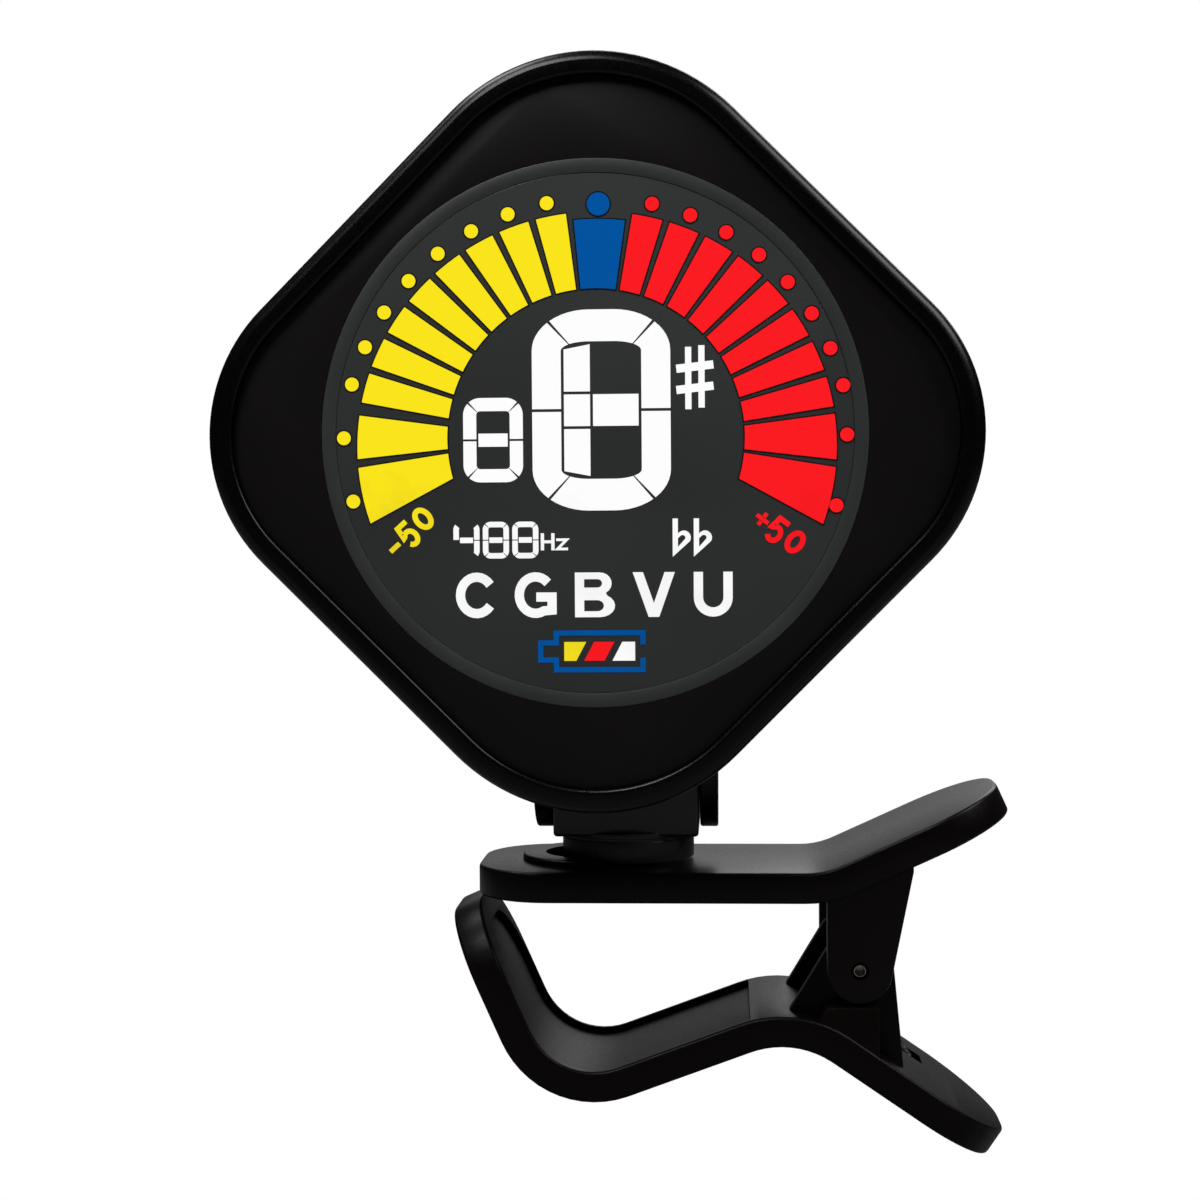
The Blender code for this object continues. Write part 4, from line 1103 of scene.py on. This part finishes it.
minus = ribbon([(-2.1, 0.7), (-1.15, 0.7)], 0.38)
plus = ribbon([(-2.1, 0.75), (-1.0, 0.75)], 0.32)
for high in (1.3, 0.55):
    plus += ribbon([(-1.55, high), (-1.55, high - 0.35)], 0.32)
scale_text("scale_flat", minus, (-14.15, -7.3), 42, yellow_ink)
scale_text("scale_sharp", plus, (14.05, -7.4), -38, red_ink)

# ------------------------
# Display stack and circuit board
# Behind the window: the liquid crystal cell, diffuser, holder and rubber connector
# strips, then the board with its parts. The case hides them; each keeps its CAD shape.


def fine_finish(name, code, roughness, grain, contrast, metallic=0.0):
    """Plain finish with a fine mottle of colour and gloss of a given grain."""
    made, tree, shader, where = blank_finish(name)
    mottle = noise(tree, where, grain, 3.0)
    tint = ramp(tree, mottle, colour(code, 1 - contrast), colour(code, 1 + contrast), 0.35, 0.65)
    gloss = spread(tree, mottle, 0.3, 0.7, roughness - 0.04, roughness + 0.06)
    feed(tree, shader, {"Base Color": tint, "Roughness": gloss, "Metallic": metallic})
    return made


refinish(fine_finish("Glass, liquid crystal cell", "#262A2A", 0.1, 6, 0.05), "lcd_cell")
refinish(fine_finish("PMMA, frosted diffuser", "#DADFE2", 0.6, 0.5, 0.04), "lcd_diffuser")
refinish(fine_finish("ABS, moulded, ivory holder", "#CDCBC4", 0.5, 0.4, 0.05), "lcd_holder")
refinish(fine_finish("Silicone, striped connector", "#8E9094", 0.7, 0.3, 0.3),
         "connector_strip_lower", "connector_strip_upper")
refinish(fine_finish("Glass epoxy, green board", "#0F5A2E", 0.45, 0.35, 0.2), "main_board")
refinish(fine_finish("Epoxy, moulded, chip", "#1B1B1C", 0.6, 0.12, 0.2), "control_chip")
refinish(fine_finish("ABS, moulded, key switch", "#202022", 0.5, 0.2, 0.1),
         "power_switch", "mode_switch", "pitch_switch")
refinish(fine_finish("Nickel silver, drawn, crystal can", "#C4C5C6", 0.25, 0.4, 0.06, 1.0), "crystal")
refinish(fine_finish("Brass, rolled, sensor disc", "#B5923F", 0.32, 0.3, 0.1, 1.0), "piezo_sensor")
refinish(fine_finish("Stainless steel, pressed, cell", "#C8C9C9", 0.28, 0.3, 0.05, 1.0), "coin_cell")
refinish(fine_finish("Phosphor bronze, plated, contact", "#BDB9AE", 0.3, 0.25, 0.08, 1.0),
         "negative_contact", "positive_contact")

# ------------------------
# Rear case shell
# Black ABS half with softly rounded back edges, four sunk screw seats, openings for the
# battery cap and the buttons, and two yoke ears that hold the neck.

back_low, back_high = (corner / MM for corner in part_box("rear_shell"))
REAR = -6.0
REAR_ROUND = 1.5
REAR_WALL = 1.5
SIDE_WALL = 1.6
SCREW_FLOOR = REAR - 1.2
SCREW_SEAT_R = 1.72
rear_shell = head_blank("case_rear", 0, back_low.y, REAR)
edge_at(rear_shell, REAR, REAR_ROUND, 8)
edge_at(rear_shell, back_low.y, SPLIT_EASE, 2)
without(rear_shell, head_blank("case_cavity", SIDE_WALL, back_low.y - 1, REAR - REAR_WALL))
cap_low, cap_high = (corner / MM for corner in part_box("battery_cap"))
cap = (cap_low + cap_high) / 2
CAP_R = (cap_high.x - cap_low.x) / 2
for place in screw_places:
    joined(rear_shell, rod("screw_post", "Y", place, BOSS_R, back_low.y, SCREW_FLOOR, 32))
    without(rear_shell,
            rod("screw_hole", "Y", place, THREAD_R, -14, REAR + 1, 24),
            eased(rod("screw_seat", "Y", place, SCREW_SEAT_R, SCREW_FLOOR, REAR + 1, 48), 0.05, 1, 60))
without(rear_shell, rod("cap_opening", "Y", cap, CAP_R + 0.1, REAR - 3, REAR + 1, 128))
BUTTON_HOLE_R = 2.9
buttons = {}
for name in ("power", "mode", "pitch"):
    low, high = (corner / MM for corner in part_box(name + "_button"))
    buttons[name] = place = (low + high) / 2
    without(rear_shell, rod("button_hole", "Y", place, BUTTON_HOLE_R, REAR - 3, REAR + 1, 64))
YOKE_INNER = 6.05
YOKE_OUTER = 7.55
YOKE_R = 5.2
YOKE_HOLE_R = 0.86
for side in (-1, 1):
    inner, outer = sorted((side * YOKE_INNER, side * YOKE_OUTER))
    ear = wrapped("yoke_ear", rod("yoke_end", "X", tilt, YOKE_R, inner, outer, 96),
                  block("yoke_root", (inner, REAR - 0.6, tilt.z + 1.4), (outer, REAR - 0.4, tilt.z + 6.6)))
    joined(rear_shell, eased(ear, 0.18, 3, 60))
without(rear_shell, rod("tilt_hole", "X", tilt, YOKE_HOLE_R, -CUT_REACH, CUT_REACH, 40))
smoothed(rear_shell)
ready(rear_shell, "head", "case_plastic", case_abs, "rear_shell")

# ------------------------
# Case screws
# Four black-zinc self-tapping screws with a cross recess, sunk below the back.

screw_zinc = steel_finish("Steel, black zinc, screws", "#4A4947", 0.38, 0.2, "Y")
SHANK_R = 0.78
RECESS = (1.5, 0.32)
RECESS_DEPTH = 0.45
for n, place in enumerate(screw_places, 1):
    low, high = (corner / MM for corner in screws[n - 1])
    screw = rod("screw_head", "Y", place, (high.x - low.x) / 2, high.y - 0.8, high.y, 48)
    edge_at(screw, high.y, 0.3, 4)
    shank = rod("screw_shank", "Y", place, SHANK_R, low.y, high.y - 0.7, 24)
    edge_at(shank, low.y, 0.5, 2)
    joined(screw, shank)
    for long, wide in (RECESS, RECESS[::-1]):
        without(screw, block("recess", (place.x - long / 2, high.y - RECESS_DEPTH, place.z - wide / 2),
                             (place.x + long / 2, high.y + 1, place.z + wide / 2)))
    screw.name = f"self_tapper_{n}"
    smoothed(screw)
    ready(screw, "head", "steel", screw_zinc, f"case_screw_{n}")

# ------------------------
# Battery cap
# Black ABS twist cap with a coin slot and a shallow dished face.

battery_cap = rod("battery_door", "Y", cap, CAP_R, cap_low.y, cap_high.y, 160)
edge_at(battery_cap, cap_high.y, 0.25, 4)


def dished(piece, y, margin, slope, depth):
    """Sinks the face of a piece at a place across Y, inside a margin and a slope."""
    opened(piece)
    take("FACE", lambda p: p.y > y - 0.001)
    bpy.ops.mesh.inset(thickness=margin * MM)
    bpy.ops.mesh.inset(thickness=slope * MM, depth=-depth * MM)
    rest()


dished(battery_cap, cap_high.y, 1.4, 0.25, 0.2)
SLOT_HALF = 6.5
SLOT_RISE = 0.8
SLOT_DEPTH = 0.55
coin_slot = block("coin_slot", (cap.x - SLOT_HALF, cap_high.y - SLOT_DEPTH, cap.z - SLOT_RISE),
                  (cap.x + SLOT_HALF, cap_high.y + 1, cap.z + SLOT_RISE))
without(battery_cap, eased(coin_slot, 0.2, 3, 60))
smoothed(battery_cap)
ready(battery_cap, "battery_cap_body", "case_plastic", case_abs, "battery_cap")

# ------------------------
# Push buttons
# Three dark grey silicone keys: a flange and a stem with a rounded rim and a dished top.

button_tpr = moulded("Silicone, moulded, keys", "#303032", 0.6, 0.15, 0.01, 0.3)
for name, place in buttons.items():
    low, high = (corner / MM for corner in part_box(name + "_button"))
    flange_r = (high.x - low.x) / 2
    key = rod(name + "_key", "Y", place, flange_r, low.y, low.y + 0.8, 64)
    stem = rod("stem", "Y", place, flange_r - 0.8, low.y + 0.4, high.y, 64)
    edge_at(stem, high.y, 0.4, 5)
    dished(stem, high.y, 0.5, 0.7, 0.12)
    joined(key, stem)
    smoothed(key)
    ready(key, name + "_button_body", "pad_rubber", button_tpr, name + "_button")
